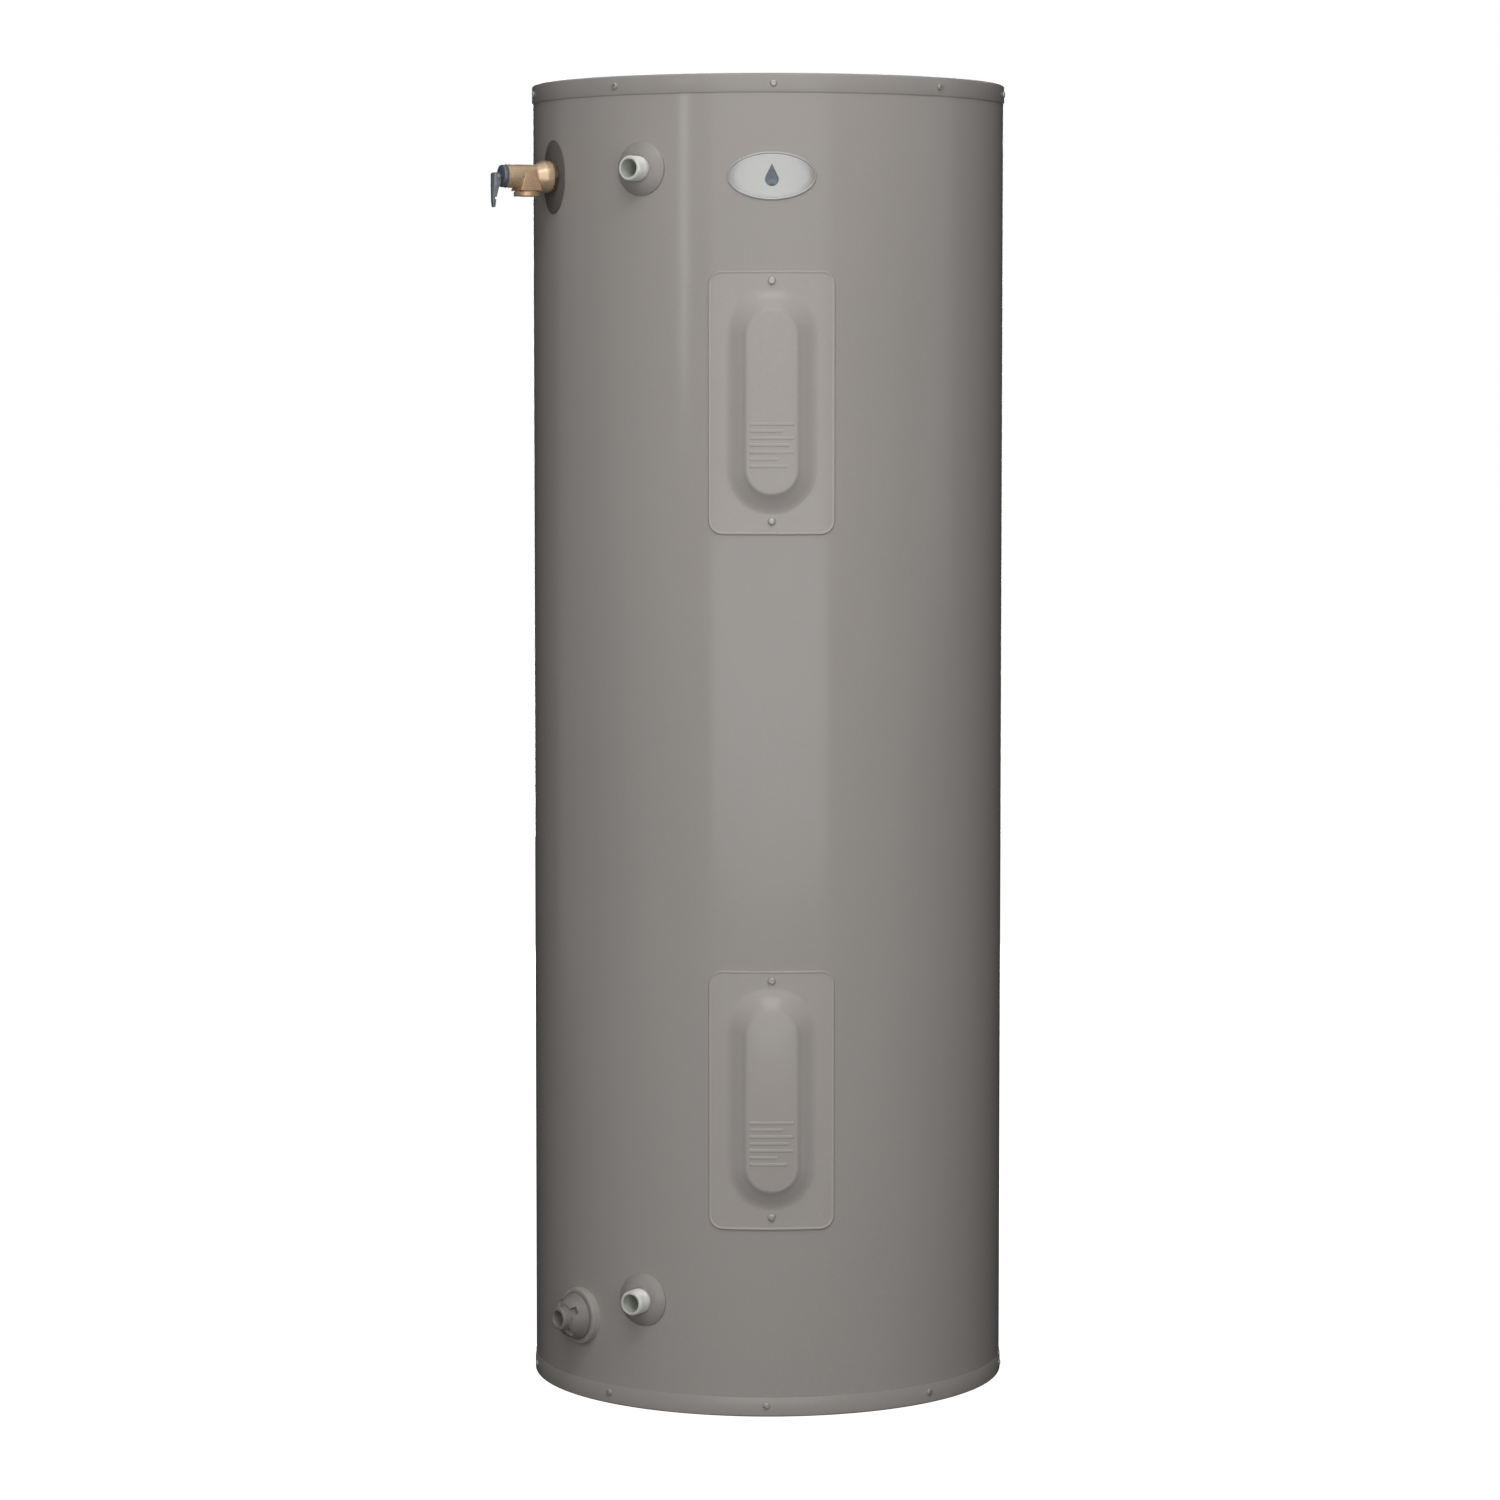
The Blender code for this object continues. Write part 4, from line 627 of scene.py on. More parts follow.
def cross_screw(name, head, length, sides=32):
    """Pan head with a cross recess; the head rests on z = 0."""
    shank = 0.0018
    height = head * 0.56
    outline = [(shank * 0.4, -length), (shank, -length + 0.002), (shank, 0.0), (head - 0.0001, 0.0)]
    outline += [(head, height * 0.12), (head * 0.97, height * 0.45), (head * 0.84, height * 0.78)]
    outline += [(head * 0.6, height * 0.95), (head * 0.3, height)]
    screw = lathe(name, outline, sides)
    arm, half = head * 0.64, head * 0.19
    for turn in (0, 90):
        slot = box("slot_tool", (-arm, -half, height * 0.15), (arm, half, height * 1.5))
        cut(screw, put(slot, Matrix.Rotation(math.radians(turn + 20), 4, "Z")))
    return screw


def rim_screws(materials):
    pattern = cross_screw("rim_screw", 0.00365, 0.0065)
    for rim in ("cap", "base"):
        for side in ("left", "front", "right"):
            node = f"{rim}_screw_{side}"
            place = outward(azimuth_of(node), LIP_RADIUS + FIT, middle(node).z)
            piece = copy_of(pattern, f"{node}_head", place)
            finished(piece, materials["screw"], nodes=[node])
        z = middle(f"{rim}_screw_front").z
        for i, azimuth in enumerate(SPARE_SCREW_AZIMUTHS):
            piece = copy_of(pattern, f"{rim}_screw_back_{i}", outward(azimuth, LIP_RADIUS + FIT, z))
            finished(piece, materials["screw"])
    bpy.data.objects.remove(pattern, do_unlink=True)


def panel_screws(materials, side):
    pattern = cross_screw("panel_screw", 0.0042, 0.0078)
    for where in ("top", "bottom"):
        node = f"{side}_panel_screw_{where}"
        place = outward(0, JACKET_RADIUS + FIT + SHEET + 0.0008, middle(node).z)
        piece = copy_of(pattern, f"{node}_head", place)
        finished(piece, materials["screw"], f"{side}_cover", [node])
    bpy.data.objects.remove(pattern, do_unlink=True)


def cover_screws(materials):
    pattern = cross_screw("cover_screw", 0.00365, 0.0065)
    for side in ("left", "right"):
        node = f"junction_cover_screw_{side}"
        centre = middle(node)
        place = Matrix.Translation((centre.x, centre.y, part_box("junction_cover")[1][2] + FIT))
        piece = copy_of(pattern, f"{node}_head", place)
        finished(piece, materials["screw"], "junction_cover", [node])
    bpy.data.objects.remove(pattern, do_unlink=True)


# --- Service panels ---


def pill_boss():
    """Raised boss as an open sheet: a round face, its rounded edge and its skirt, then stretched."""
    half = PILL_WIDTH / 2
    steps = [(-0.0034, PILL_RISE), (-0.0020, PILL_RISE - 0.0002), (-0.0006, PILL_RISE - 0.0009)]
    steps += [(0.0008, PILL_RISE - 0.0019), (0.0026, PILL_RISE - 0.0034)]
    steps += [(PILL_SKIRT - 0.0078, 0.0039), (PILL_SKIRT - 0.0048, 0.0023), (PILL_SKIRT - 0.0020, 0.0011)]
    steps += [(PILL_SKIRT + 0.0004, 0.0004), (PILL_SKIRT + 0.0024, 0.0)]
    set_down()
    radius, rise = half + steps[0][0], steps[0][1]
    bpy.ops.mesh.primitive_circle_add(vertices=98, radius=radius, fill_type="NGON", location=(0, 0, rise))
    boss = named("pill_boss")
    bpy.ops.object.mode_set(mode="EDIT")
    bpy.ops.mesh.select_all(action="SELECT")
    bpy.ops.mesh.region_to_loop()
    for offset, next_rise in steps[1:]:
        scale = (half + offset) / radius
        bpy.ops.mesh.extrude_edges_move(TRANSFORM_OT_translate={"value": (0, 0, next_rise - rise)})
        bpy.ops.transform.resize(value=(scale, scale, 1), center_override=(0, 0, next_rise))
        radius, rise = half + offset, next_rise
    apply_place(boss)
    stretch = (PILL_HEIGHT - PILL_WIDTH) / 2
    for vert in boss.data.vertices:
        vert.co.y += math.copysign(stretch, vert.co.y) + PILL_LIFT
    return boss


def access_panel(materials, side):
    node = f"{side}_access_panel"
    low, high = (Vector(c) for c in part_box(node))
    centre = (low.z + high.z) / 2
    height = high.z - low.z
    width = 0.1355
    boss = pill_boss()
    plate = drawn("panel_plate", rounded(width, height, PANEL_CORNER), -0.0010, 0.0)
    hem = 0.0034
    open_mesh(plate)
    pick_faces(plate, lambda face: face.normal.z < -0.5)
    bpy.ops.mesh.delete(type="FACE")
    pick_faces(plate, lambda face: face.normal.z > 0.5)
    bpy.ops.mesh.inset(thickness=0.0007, depth=0.0008)
    bpy.ops.mesh.inset(thickness=0.0011, depth=0.0)
    bpy.ops.mesh.inset(thickness=0.0009, depth=-0.0008)
    bpy.ops.mesh.inset(thickness=hem - 0.0027, depth=0.0)
    bpy.ops.mesh.delete(type="ONLY_FACE")
    set_down()
    panel = joined(plate, boss)
    named(f"{side}_panel_cover")
    open_mesh(panel)
    inner_x, inner_y = width / 2 - hem - 0.0001, height / 2 - hem - 0.0001
    skirt = PILL_WIDTH / 2 + PILL_SKIRT

    def on_bridge(co):
        inside = abs(co.x) < inner_x + 0.0003 and abs(co.y) < inner_y + 0.0003
        reach = math.hypot(co.x, max(0.0, abs(co.y - PILL_LIFT) - (PILL_HEIGHT - PILL_WIDTH) / 2))
        return inside and abs(co.z) < 1e-5 and reach > skirt + 0.0020

    pick_edges(panel, lambda edge: edge.is_boundary and all(on_bridge(v.co) for v in edge.verts))
    bpy.ops.mesh.bridge_edge_loops()
    set_normals(panel)
    slice_upright(panel, 0.0028)
    apply_modifier(panel, "SOLIDIFY", thickness=SHEET, offset=-1.0)
    panel = joined(panel, *embossed_bars())
    bend(panel)
    put(panel, outward(0, JACKET_RADIUS + FIT + SHEET, centre))
    # The panel enamel is lighter than the jacket's as a painted reflection
    finished(panel, materials["panel"], f"{side}_cover", [node], angle=50)


def embossed_bars():
    """Plain raised bars low on the boss."""
    widths = (0.045, 0.034, 0.045, 0.040, 0.045, 0.028, 0.038)
    bars = []
    for i, width in enumerate(widths):
        y = -PILL_HEIGHT / 2 + PILL_LIFT + 0.0755 - i * 0.0074
        x = (width - 0.045) / 2
        low = (x - width / 2, y - 0.0018, PILL_RISE - 0.0006)
        high = (x + width / 2, y + 0.0018, PILL_RISE + 0.00055)
        bar = box(f"bar_{i}", low, high, 0.0006, 3)
        slice_upright(bar, 0.0028)
        bars.append(bar)
    return bars


# --- Water connections ---


def nipple(materials, which):
    """Threaded steel nipple with a plastic liner showing at its mouth."""
    place = on_jacket(CONNECTION_AZIMUTH, middle(f"{which}_nipple").z)
    inner, outer, steel_bore = -0.046, NIPPLE_REACH, 0.0103
    outline = [(steel_bore, inner), (PIPE_RADIUS, inner)]
    threads, pitch = 8, 0.0018
    start = outer - 0.0016 - threads * pitch
    outline.append((PIPE_RADIUS, start))
    for i in range(threads):
        z = start + i * pitch
        outline += [(PIPE_RADIUS - 0.0007, z + pitch * 0.5), (PIPE_RADIUS - 0.0001 * (i / 3), z + pitch)]
    outline += [(PIPE_RADIUS - 0.0012, outer - 0.0003), (PIPE_RADIUS - 0.0015, outer - 0.0001)]
    outline.append((steel_bore, outer - 0.0001))
    pipe = lathe(f"{which}_pipe_nipple", outline, 64, ring=True)
    finished(put(pipe, place), materials["pipe"], nodes=[f"{which}_nipple"])
    lip = [(PIPE_BORE, inner), (steel_bore - 0.0001, inner), (steel_bore - 0.0001, outer - 0.0002)]
    lip += [(PIPE_BORE + 0.0002, outer - 0.0002), (PIPE_BORE, outer - 0.0005)]
    liner = lathe(f"{which}_pipe_liner", lip, 64, ring=True)
    finished(put(liner, place), materials["liner"])


def escutcheon(materials, which):
    """Shallow domed ring whose flat skirt reaches down into the round jacket."""
    place = on_jacket(CONNECTION_AZIMUTH, middle(f"{which}_escutcheon").z)
    radius, hole, rise = 0.0285, PIPE_RADIUS + 0.0003, 0.0070
    outline = [(hole, -0.0022), (radius - 0.0001, -0.0022), (radius, 0.0006)]
    outline += [(radius - 0.0002, 0.0011), (radius - 0.0007, 0.0015)]
    for i in range(1, 9):
        t = i / 8
        across = radius - 0.0007 + (hole + 0.0012 - radius + 0.0007) * t
        outline.append((across, 0.0015 + (rise - 0.0015) * math.sin(math.pi / 2 * t)))
    outline += [(hole + 0.0003, rise - 0.0003), (hole, rise - 0.0010)]
    ring = lathe(f"{which}_domed_ring", outline, 96, ring=True)
    finished(put(ring, place), materials["escutcheon"], nodes=[f"{which}_escutcheon"])


# --- Relief valve ---


RELIEF_NECK_END = 0.0055
RELIEF_DOME_END = 0.0245
RELIEF_BARREL_END = 0.0574
RELIEF_BARREL = 0.01275
RELIEF_DOME = 0.01735
RELIEF_OUTLET = 0.0320
RELIEF_DROP = 0.0215
RELIEF_PIVOT = 0.0672
RELIEF_HEX = 0.0185
RELIEF_INLET = 0.0070
RELIEF_CHAMBER = 0.0095
STEM_RADIUS = 0.0020
PIN_BORE = 0.0011


def relief_valve(materials):
    place = on_jacket(RELIEF_AZIMUTH, RELIEF_Z)
    plate = drawn("relief_oval_plate", oval(0.054, 0.079, 72), 0.0, 0.0011, 0.0004)
    slice_upright(plate, 0.003)
    bend(plate)
    put(plate, place @ Matrix.Translation((0, 0, FIT)))
    finished(plate, materials["oval"], nodes=["relief_escutcheon"])

    hexagon = arc((0, 0), RELIEF_HEX, 0, 300, 5)
    neck = drawn("relief_hex_neck", hexagon, 0.0020, RELIEF_NECK_END + 0.0010, 0.0007)
    # The hex neck and the shank take the near-black brass with painted shade
    finished(put(neck, place), materials["neck"])
    start, end = -0.046, 0.003
    outline = [(RELIEF_INLET, start), (PIPE_RADIUS, start), (PIPE_RADIUS, end), (RELIEF_INLET, end)]
    shank = lathe("relief_shank", outline, 48, ring=True)
    finished(put(shank, place), materials["neck"])

    dome, barrel = RELIEF_DOME, RELIEF_BARREL
    outline = [(RELIEF_CHAMBER, RELIEF_NECK_END), (dome - 0.0012, RELIEF_NECK_END)]
    outline.append((dome - 0.0003, RELIEF_NECK_END + 0.0010))
    outline += [(dome, RELIEF_NECK_END + 0.0035), (dome, RELIEF_NECK_END + 0.0070)]
    for i in range(1, 9):
        t = i / 8
        drop = 0.5 - 0.5 * math.cos(math.pi * t)
        along = RELIEF_NECK_END + 0.0070 + (RELIEF_DOME_END - RELIEF_NECK_END - 0.0070) * t
        outline.append((dome + (barrel - dome) * drop, along))
    outline += [(barrel, RELIEF_BARREL_END - 0.0045), (barrel - 0.0003, RELIEF_BARREL_END - 0.0042)]
    outline += [(barrel - 0.0003, RELIEF_BARREL_END - 0.0036), (barrel, RELIEF_BARREL_END - 0.0033)]
    outline += [(barrel, RELIEF_BARREL_END - 0.0006), (barrel - 0.0006, RELIEF_BARREL_END)]
    outline.append((RELIEF_CHAMBER, RELIEF_BARREL_END))
    body = lathe("relief_valve_barrel", outline, 96, ring=True)

    rib = [(-0.0060, 0.0070), (0.0060, 0.0070), (0.0066, 0.0030)]
    rib += [(0.0128, -0.0155), (-0.0128, -0.0155), (-0.0066, 0.0030)]
    gusset = drawn("outlet_gusset", rib, -RELIEF_BARREL - 0.0008, RELIEF_BARREL + 0.0008, 0.0007, 3)
    across = Matrix(((0, 0, 1, 0), (0, 1, 0, 0), (-1, 0, 0, RELIEF_OUTLET), (0, 0, 0, 1)))
    put(gusset, across)
    drop = RELIEF_DROP
    flange = [(0.0105, drop), (0.0134, drop), (0.0140, drop - 0.0006), (0.0140, drop - 0.0048)]
    flange += [(0.0134, drop - 0.0054), (0.0124, drop - 0.0056), (0.0110, 0.006)]
    flange += [(0.0060, 0.006), (0.0060, drop - 0.0105), (0.0105, drop - 0.0105)]
    for i in range(4):
        flange += [(0.0101, drop - 0.0092 + i * 0.0020), (0.0106, drop - 0.0082 + i * 0.0020)]
    downward = Matrix.Translation((0, 0, RELIEF_OUTLET)) @ Matrix.Rotation(math.radians(90), 4, "X")
    outlet = lathe("relief_outlet", flange, 64, ring=True)
    put(outlet, downward)
    well = lathe("well_tool", [(0.0100, 0.008), (0.0100, drop + 0.01)], 48)
    put(well, downward)
    chamber = lathe("chamber_tool", [(RELIEF_CHAMBER, 0.008), (RELIEF_CHAMBER, 0.08)], 48)
    cut(gusset, well)
    cut(gusset, chamber)
    finished(put(body, place), materials["machined"], nodes=["relief_valve_body"])
    finished(put(joined(gusset, outlet), place), materials["cast"])
    relief_head(materials, place)


def relief_head(materials, place):
    """End cap, stem with its eye, lever and pin; place is where the valve leaves the jacket."""
    start, end = RELIEF_BARREL_END + 0.0003, RELIEF_BARREL_END + 0.0051
    outline = [(0.0023, start), (0.0116, start), (0.0121, start + 0.0005), (0.0121, end - 0.0012)]
    outline += [(0.0117, end - 0.0004), (0.0108, end), (0.0060, end)]
    outline += [(0.0056, end - 0.0004), (0.0023, end - 0.0004)]
    cap = lathe("relief_end_cap", outline, 64, ring=True)
    finished(put(cap, place), materials["cap"], nodes=["relief_cap"])

    sideways = Matrix.Translation((0, 0, RELIEF_PIVOT)) @ Matrix.Rotation(math.radians(90), 4, "Y")
    outline = [(0.0085, 0.0103), (0.0085, 0.0125), (STEM_RADIUS, 0.0135), (STEM_RADIUS, RELIEF_PIVOT - 0.001)]
    rod = lathe("relief_stem_rod", outline, 24)
    outline = [(PIN_BORE, -0.0029), (0.0021, -0.0029), (0.00235, -0.0026)]
    outline += [(0.00235, 0.0026), (0.0021, 0.0029), (PIN_BORE, 0.0029)]
    eye = lathe("relief_stem_eye", outline, 32, ring=True)
    put(eye, sideways)
    bore = lathe("bore_tool", [(PIN_BORE, -0.01), (PIN_BORE, 0.01)], 24)
    cut(rod, put(bore, sideways))
    finished(put(rod, place), materials["zinc"], "relief_stem", ["relief_stem"])
    finished(put(eye, place), materials["zinc"], "relief_stem")

    lever = relief_lever()
    put(lever, place @ Matrix.Translation((0, 0, RELIEF_PIVOT)))
    finished(lever, materials["lever"], "relief_lever", ["relief_lever"])
    half, head, shank = 0.0050, 0.00175, 0.0009
    outline = [(0.0016, -half - 0.0012), (head, -half - 0.0010), (head, -half - 0.0003)]
    outline += [(shank, -half - 0.0001), (shank, half + 0.0001), (head, half + 0.0003)]
    outline += [(head, half + 0.0010), (0.0016, half + 0.0012)]
    pin = lathe("relief_lever_pin", outline, 24)
    put(pin, place @ sideways)
    finished(pin, materials["screw"], "relief_lever", ["lever_pin"])


def relief_lever():
    """Pressed steel lever: a channel whose flanges taper to a narrow tip with a hole in it."""
    front, thick, length = 0.0048, 0.0016, 0.0335
    outline = [(-0.0032, -0.0022), (-0.0030, 0.0016), (-0.0014, 0.0036)]
    outline += [(front - 0.0014, 0.0037), (front, 0.0022)]
    outline += [(front, -0.0060), (front + 0.0006, -length + 0.0070), (front + 0.0001, -length)]
    outline += [(front - 0.0022, -length), (front - 0.0030, -length + 0.0090)]
    outline += [(front - 0.0052, -0.0135), (-0.0030, -0.0080)]
    lever = drawn("relief_lever_arm", outline, -0.0050, 0.0050)
    put(lever, Matrix(((0, 0, -1, 0), (0, 1, 0, 0), (1, 0, 0, 0), (0, 0, 0, 1))))
    slot = box("slot_tool", (-0.0036, -length + 0.0085, -0.02), (0.0036, 0.02, front - thick))
    cut(lever, slot)
    hole = lathe("eye_tool", [(PIN_BORE, -0.02), (PIN_BORE, 0.02)], 24)
    cut(lever, put(hole, Matrix.Translation((0, -length + 0.0032, 0))))
    for side in (-1, 1):
        low, high = sorted((side * 0.0050, side * 0.02))
        trim = box("tip_tool", (low, -0.06, -0.02), (high, 0.0, 0.02))
        taper = Matrix.Rotation(math.radians(side * -6.5), 4, "Z")
        cut(lever, put(trim, Matrix.Translation((0, -0.0100, 0)) @ taper))
    sharp = math.radians(50)
    apply_modifier(lever, "BEVEL", width=0.0003, segments=2, limit_method="ANGLE", angle_limit=sharp)
    return lever


# --- Drain valve ---


def drain_valve(materials):
    place = on_jacket(DRAIN_AZIMUTH, DRAIN_Z)
    radius, rise, hole = 0.03075, 0.0080, 0.0136
    outline = [(hole, -0.0024), (radius, -0.0024), (radius, rise - 0.0020)]
    outline += arc((radius - 0.0020, rise - 0.0020), 0.0020, 0, 90, 4)[1:]
    outline += [(0.0262, rise), (0.0258, rise - 0.0006), (hole, rise - 0.0006)]
    drum = lathe("drain_drum", outline, 96, ring=True)
    finished(put(drum, place), materials["drum"], nodes=["drain_escutcheon"])

    base, cone, neck, tip = 0.0086, 0.0252, 0.0162, 0.033
    bore, spout, sleeve = 0.00875, 0.0125, 0.0102
    outline = [(bore, -0.036), (sleeve, -0.036), (sleeve, 0.0155), (0.0145, 0.0155)]
    outline += [(cone - 0.003, base), (cone - 0.0006, base)]
    outline += [(cone, base + 0.0006), (cone - 0.0002, base + 0.0014)]
    for i in range(1, 7):
        t = i / 6
        outline.append((cone + (neck - cone) * t, base + 0.0014 + 0.0140 * math.sin(math.pi / 2 * t) ** 1.15))
    outline += [(neck - 0.0005, 0.0246), (spout + 0.0002, 0.0248), (spout, 0.0250), (spout, 0.0262)]
    for i in range(2):
        z = 0.0262 + i * 0.0026
        outline += [(spout - 0.0009, z + 0.0006), (spout - 0.0009, z + 0.0013)]
        outline += [(spout, z + 0.0019), (spout, z + 0.0026)]
    outline += [(spout - 0.0004, tip - 0.0003), (spout - 0.0008, tip)]
    outline += [(bore + 0.0004, tip), (bore, tip - 0.0004)]
    wheel = lathe("drain_grip", outline, 96, ring=True)
    for i in range(4):
        notch = box("notch_tool", (spout + 0.0006, -0.0042, 0.0172), (0.0205, 0.0042, 0.030), 0.0008)
        cut(wheel, put(notch, Matrix.Rotation(math.tau * (i + 0.35) / 4, 4, "Z")))
    finished(put(wheel, place), materials["drain"], "drain_handwheel", ["drain_handwheel"], angle=40)


# --- Badge ---


BADGE_STEPS = (  # width and rise of each step from the badge's edge inwards
    (0.0006, 0.0006),
    (0.0012, 0.0001),
    (0.0008, -0.0006),
    (0.0014, 0.0002),
    (0.0028, 0.0004),
    (0.0034, 0.0002),
)


def badge(materials):
    """Oval plate with a beaded rim and a plain water drop in its middle."""
    z = middle("badge").z
    width, height = 0.0945, 0.0507
    plate = drawn("badge_plate", oval(width, height, 96), 0.0, 0.0012)
    open_mesh(plate)
    pick_faces(plate, lambda face: face.normal.z > 0.5)
    for thickness, depth in BADGE_STEPS:
        bpy.ops.mesh.inset(thickness=thickness, depth=depth)
    slice_upright(plate, 0.0030)
    bend(plate)
    put(plate, on_jacket(0, z) @ Matrix.Translation((0, 0, FIT)))
    finished(plate, materials["badge"], nodes=["badge"])

    tip, round_y, r = 0.0125, -0.0040, 0.0072
    spread = math.degrees(math.acos(r / (tip - round_y)))
    drop = [(0.0, tip)] + arc((0, round_y), r, 90 + spread, 450 - spread, 28)
    emblem = drawn("badge_drop", drop, 0.0014, 0.0029, 0.0005, 2)
    slice_upright(emblem, 0.0030)
    bend(emblem)
    finished(put(emblem, on_jacket(0, z)), materials["emblem"])


# --- Junction cover and inner pieces ---


def junction_cover(materials):
    """Flat cover with the raised knockout for a conduit fitting."""
    low, high = (Vector(c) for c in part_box("junction_cover"))
    centre = (low + high) / 2
    size = high - low
    disc, rise = 0.0111, 0.0005
    top = high.z - rise
    cover = drawn("junction_cover_plate", rounded(size.x, size.y, 0.006), low.z, top, 0.0002)
    knockout = [(0.002, top - 0.0003), (disc, top - 0.0003), (disc, top + rise - 0.0002)]
    knockout += [(disc - 0.0002, top + rise), (0.002, top + rise)]
    cut(cover, lathe("knockout_disc", knockout, 64), "UNION")
    put(cover, Matrix.Translation((centre.x, centre.y, 0)))
    finished(cover, materials["rim"], "junction_cover", ["junction_cover"])


def thermostat_face(materials, side):
    """Terminal screws and a marked ring round the dial of a thermostat."""
    low, high = (Vector(c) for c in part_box(f"{side}_thermostat"))
    front = -low.y
    dial = middle(f"{side}_thermostat_dial")
    pattern = cross_screw("terminal", 0.0036, 0.002, 24)
    inset, spread = 0.014, 0.016
    upper, lower = high.z - inset, low.z + inset
    for i, (x, z) in enumerate(((-spread, upper), (0.0, upper), (spread, upper), (-spread, lower))):
        place = outward(0, front + 0.0001, z) @ Matrix.Translation((x, 0, 0))
        terminal = copy_of(pattern, f"{side}_terminal_{i}", place)
        finished(terminal, materials["machined"])
    bpy.data.objects.remove(pattern, do_unlink=True)
    ticks = []
    for i in range(9):
        reach = 0.0150 if i % 4 == 0 else 0.0140
        tick = box(f"tick_{i}", (-0.0004, 0.0122, 0.0), (0.0004, reach, 0.0003), 0.0001)
        ticks.append(put(tick, Matrix.Rotation(math.radians(120 - 30 * i), 4, "Z")))
    marks = joined(*ticks)
    named(f"{side}_dial_marks")
    put(marks, outward(0, front, dial.z) @ Matrix.Translation((dial.x, 0, 0)))
    finished(marks, materials["white"])


def element_terminals(materials, side):
    """Two terminal screws on the black end of a heating element."""
    front = -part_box(f"{side}_heating_element")[0][1]
    z = middle(f"{side}_heating_element").z
    pattern = cross_screw("terminal", 0.0036, 0.001, 24)
    for i, x in enumerate((-0.0068, 0.0068)):
        place = outward(0, front + 0.0001, z) @ Matrix.Translation((x, 0, 0))
        terminal = copy_of(pattern, f"{side}_element_terminal_{i}", place)
        finished(terminal, materials["machined"])
    bpy.data.objects.remove(pattern, do_unlink=True)


CARRIED_OVER = {
    "foam": ["foam_insulation"],
    "tank": ["tank_shell", "tank_top_head", "tank_bottom_head"],
    "magnesium": ["anode_rod"],
    "alloy": ["upper_heating_element", "lower_heating_element", "relief_probe"],
    "rubber": ["upper_element_gasket", "lower_element_gasket", "drain_seal_washer"],
    "phenolic": ["upper_thermostat", "lower_thermostat", "high_limit_control"],
    "red": ["reset_button"],
    "white": ["upper_thermostat_dial", "lower_thermostat_dial"],
    "galvanised": ["upper_thermostat_bracket", "lower_thermostat_bracket", "junction_box"],
    "pad": ["upper_insulation_pad", "lower_insulation_pad"],
    "zinc": ["relief_spring"],
    "drain": ["drain_body"],
    "cable": ["supply_cable", "link_cable"],
    "earth": ["ground_screw"],
}


def dress_frame(materials):
    """Gives the frame's own pieces their finishes."""
    for key, nodes in CARRIED_OVER.items():
        for node in nodes:
            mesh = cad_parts[node].data
            mesh.materials.clear()
            mesh.materials.append(materials[key])


# --- Studio ---


def studio():
    """Pale floor, soft lights and the camera."""
    set_down()
    bpy.ops.mesh.primitive_plane_add(size=60.0, location=(0, 0, -0.0005))
    floor = named("studio_floor")
    pale = Paint("pale_floor", (0.60, 0.60, 0.60), 0.8)
    pale.vary_roughness(pale.noise(2.0), 0.75, 0.85)
    pale.set(Emission_Color=(1.0, 1.0, 1.0, 1.0), Emission_Strength=1.0)
    floor.data.materials.append(pale.material)
    floor.visible_diffuse = False
    floor.visible_glossy = False
    room_light()

    # name, place, target, (width, height), brightness
    soft_light("front_upper_box", (0.0, -3.8, 2.20), (0, 0, 2.20), (3.9, 1.70), 1.45)
    soft_light("front_middle_box", (0.0, -3.8, 1.10), (0, 0, 1.10), (3.9, 0.50), 1.3)
    soft_light("front_lower_box", (0.0, -3.8, 0.50), (0, 0, 0.50), (3.9, 0.70), 2.7)
    soft_light("overhead_box", (0.0, -2.70, 3.70), (0, 0, 1.00), (2.6, 1.30), 3.8)
    soft_light("narrow_strip", (-2.55, -3.0, 1.42), (0, 0, 1.42), (0.24, 0.62), 6.5)
    soft_light("left_box", (-2.9, 1.00, 1.50), (0, 0, 1.50), (1.3, 2.90), 0.24)
    soft_light("right_box", (3.4, -0.25, 1.95), (0, 0, 1.95), (1.3, 2.50), 0.5)
    soft_light("back_box", (0.0, 3.8, 1.50), (0, 0, 1.50), (1.4, 2.60), 7.0)
    soft_light("top_box", (0.0, -0.3, 4.60), (0, 0, 0.0), (3.4, 3.40), 0.7)

    data = bpy.data.cameras.new("studio_camera")
    camera = bpy.data.objects.new("studio_camera", data)
    bpy.context.scene.collection.objects.link(camera)
    distance, height, pitch, turn, aim = 5.1569, 1.1233, 3.854, -0.9, 0.2204
    data.sensor_width = 36.0
    data.lens = 111.63
    data.shift_y = -0.05
    data.clip_end = 60.0
    a = math.radians(turn)
    camera.location = (distance * math.sin(a), -distance * math.cos(a), height)
    camera.rotation_euler = (math.radians(90 - pitch), 0, math.radians(turn + aim))
    bpy.context.scene.camera = camera
    bpy.context.scene.view_settings.view_transform = "Standard"


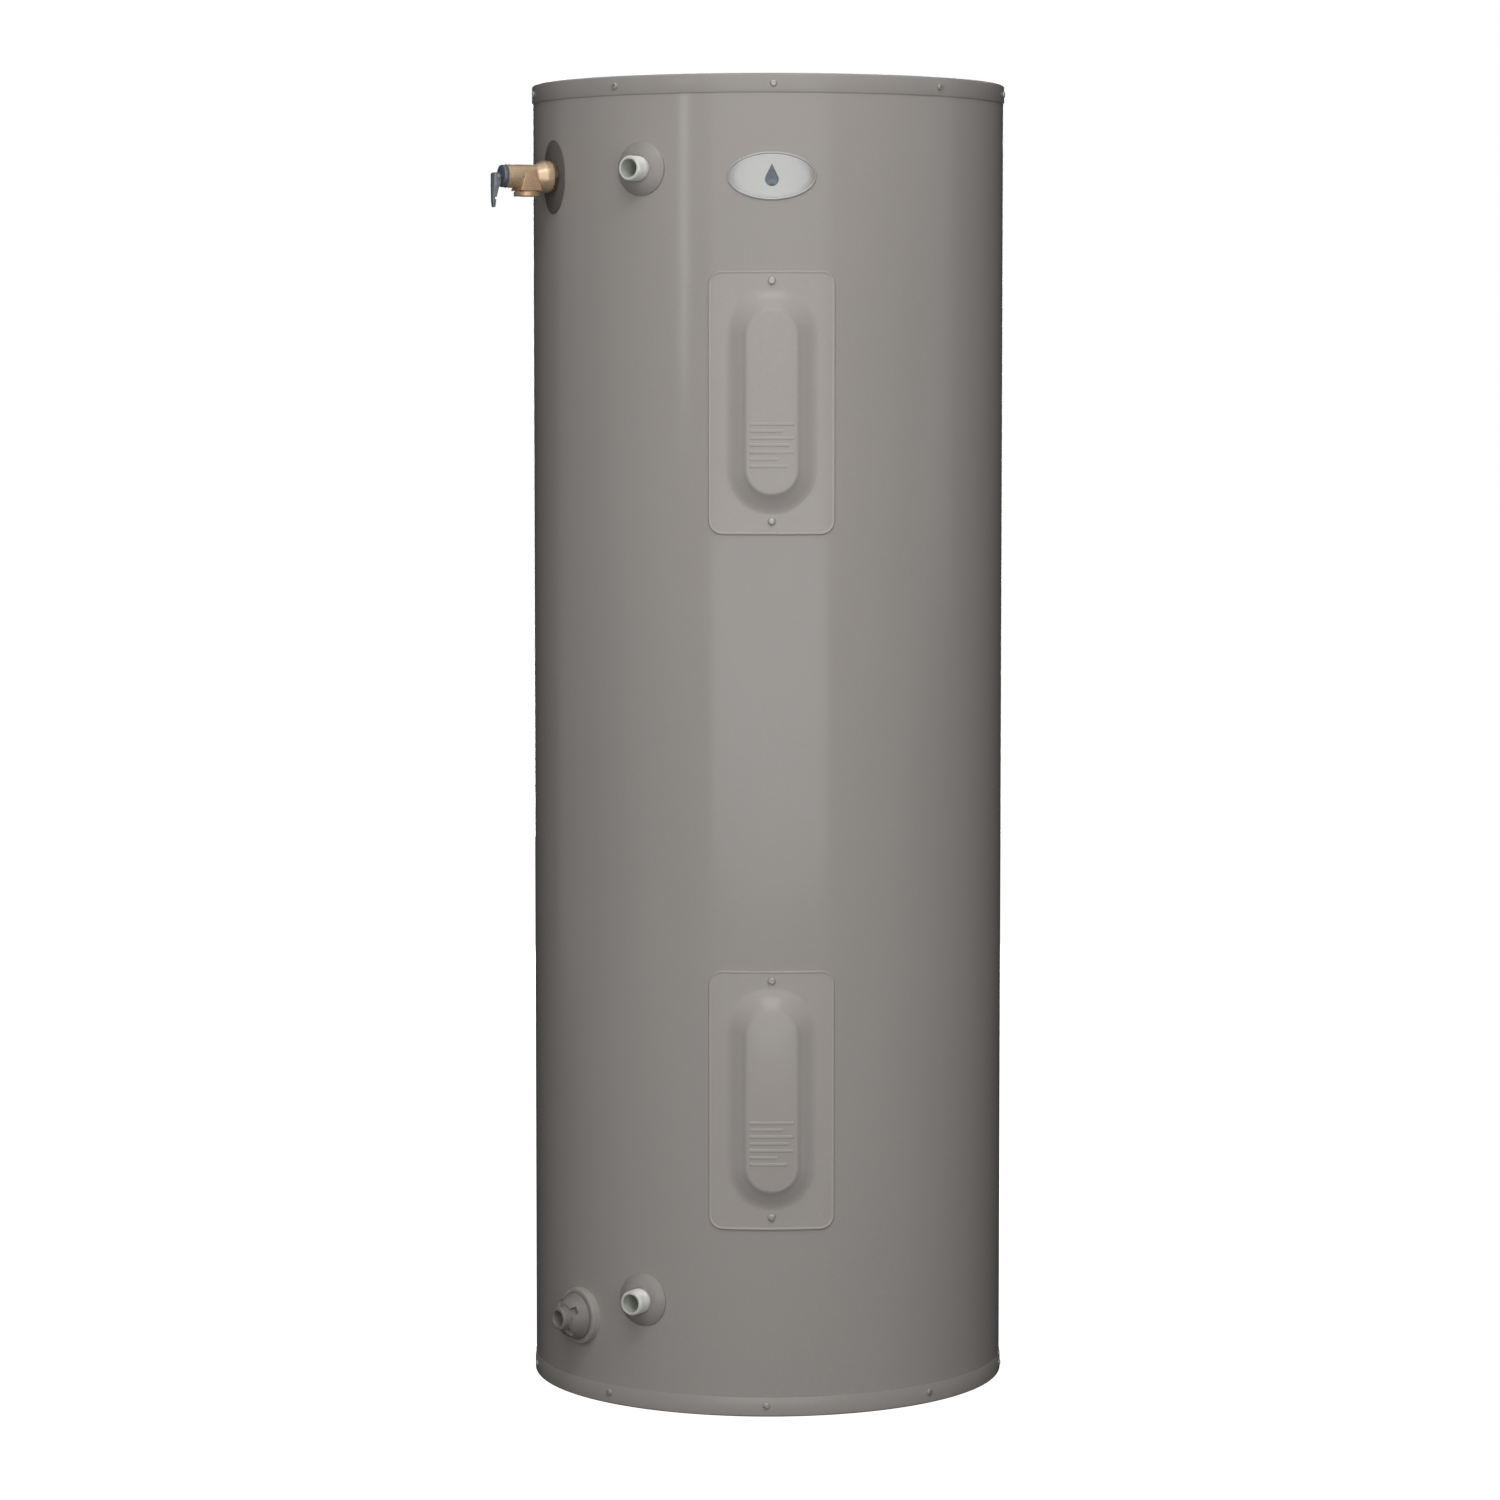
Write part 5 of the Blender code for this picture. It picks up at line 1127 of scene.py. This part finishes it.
def room_light():
    """A dim room, brighter in front, against a plain white background."""
    world = bpy.data.worlds.new("studio_world")
    bpy.context.scene.world = world
    world.use_nodes = True
    tree = world.node_tree
    room = tree.nodes["Background"]
    room.inputs["Color"].default_value = (1.0, 1.0, 1.0, 1.0)
    direction = tree.nodes.new("ShaderNodeTexCoord").outputs["Generated"]
    parts = tree.nodes.new("ShaderNodeSeparateXYZ")
    tree.links.new(direction, parts.inputs["Vector"])
    depth = tree.nodes.new("ShaderNodeMapRange")
    for key, number in zip(("From Min", "From Max", "To Min", "To Max"), ROOM_LIGHT):
        depth.inputs[key].default_value = number
    tree.links.new(parts.outputs["Y"], depth.inputs["Value"])
    tree.links.new(depth.outputs["Result"], room.inputs["Strength"])
    white = tree.nodes.new("ShaderNodeBackground")
    white.inputs["Color"].default_value = (1.0, 1.0, 1.0, 1.0)
    pick = tree.nodes.new("ShaderNodeMixShader")
    tree.links.new(tree.nodes.new("ShaderNodeLightPath").outputs["Is Camera Ray"], pick.inputs["Fac"])
    tree.links.new(room.outputs["Background"], pick.inputs[1])
    tree.links.new(white.outputs["Background"], pick.inputs[2])
    tree.links.new(pick.outputs["Shader"], tree.nodes["World Output"].inputs["Surface"])


def soft_light(name, place, target, size, brightness):
    data = bpy.data.lights.new(name, "AREA")
    data.shape = "RECTANGLE"
    data.size, data.size_y = size
    data.energy = brightness * math.pi * size[0] * size[1]
    light = bpy.data.objects.new(name, data)
    bpy.context.scene.collection.objects.link(light)
    light.location = place
    light.rotation_euler = (Vector(target) - Vector(place)).to_track_quat("-Z", "Y").to_euler()


# --- Assembly ---


def build():
    studio()
    materials = make_materials()
    jacket(materials)
    top_cap(materials)
    base_pan(materials)
    rim_screws(materials)
    for side in ("upper", "lower"):
        access_panel(materials, side)
        panel_screws(materials, side)
        thermostat_face(materials, side)
        element_terminals(materials, side)
    for which in ("hot", "cold"):
        nipple(materials, which)
        escutcheon(materials, which)
    relief_valve(materials)
    drain_valve(materials)
    badge(materials)
    junction_cover(materials)
    cover_screws(materials)
    dress_frame(materials)


build()
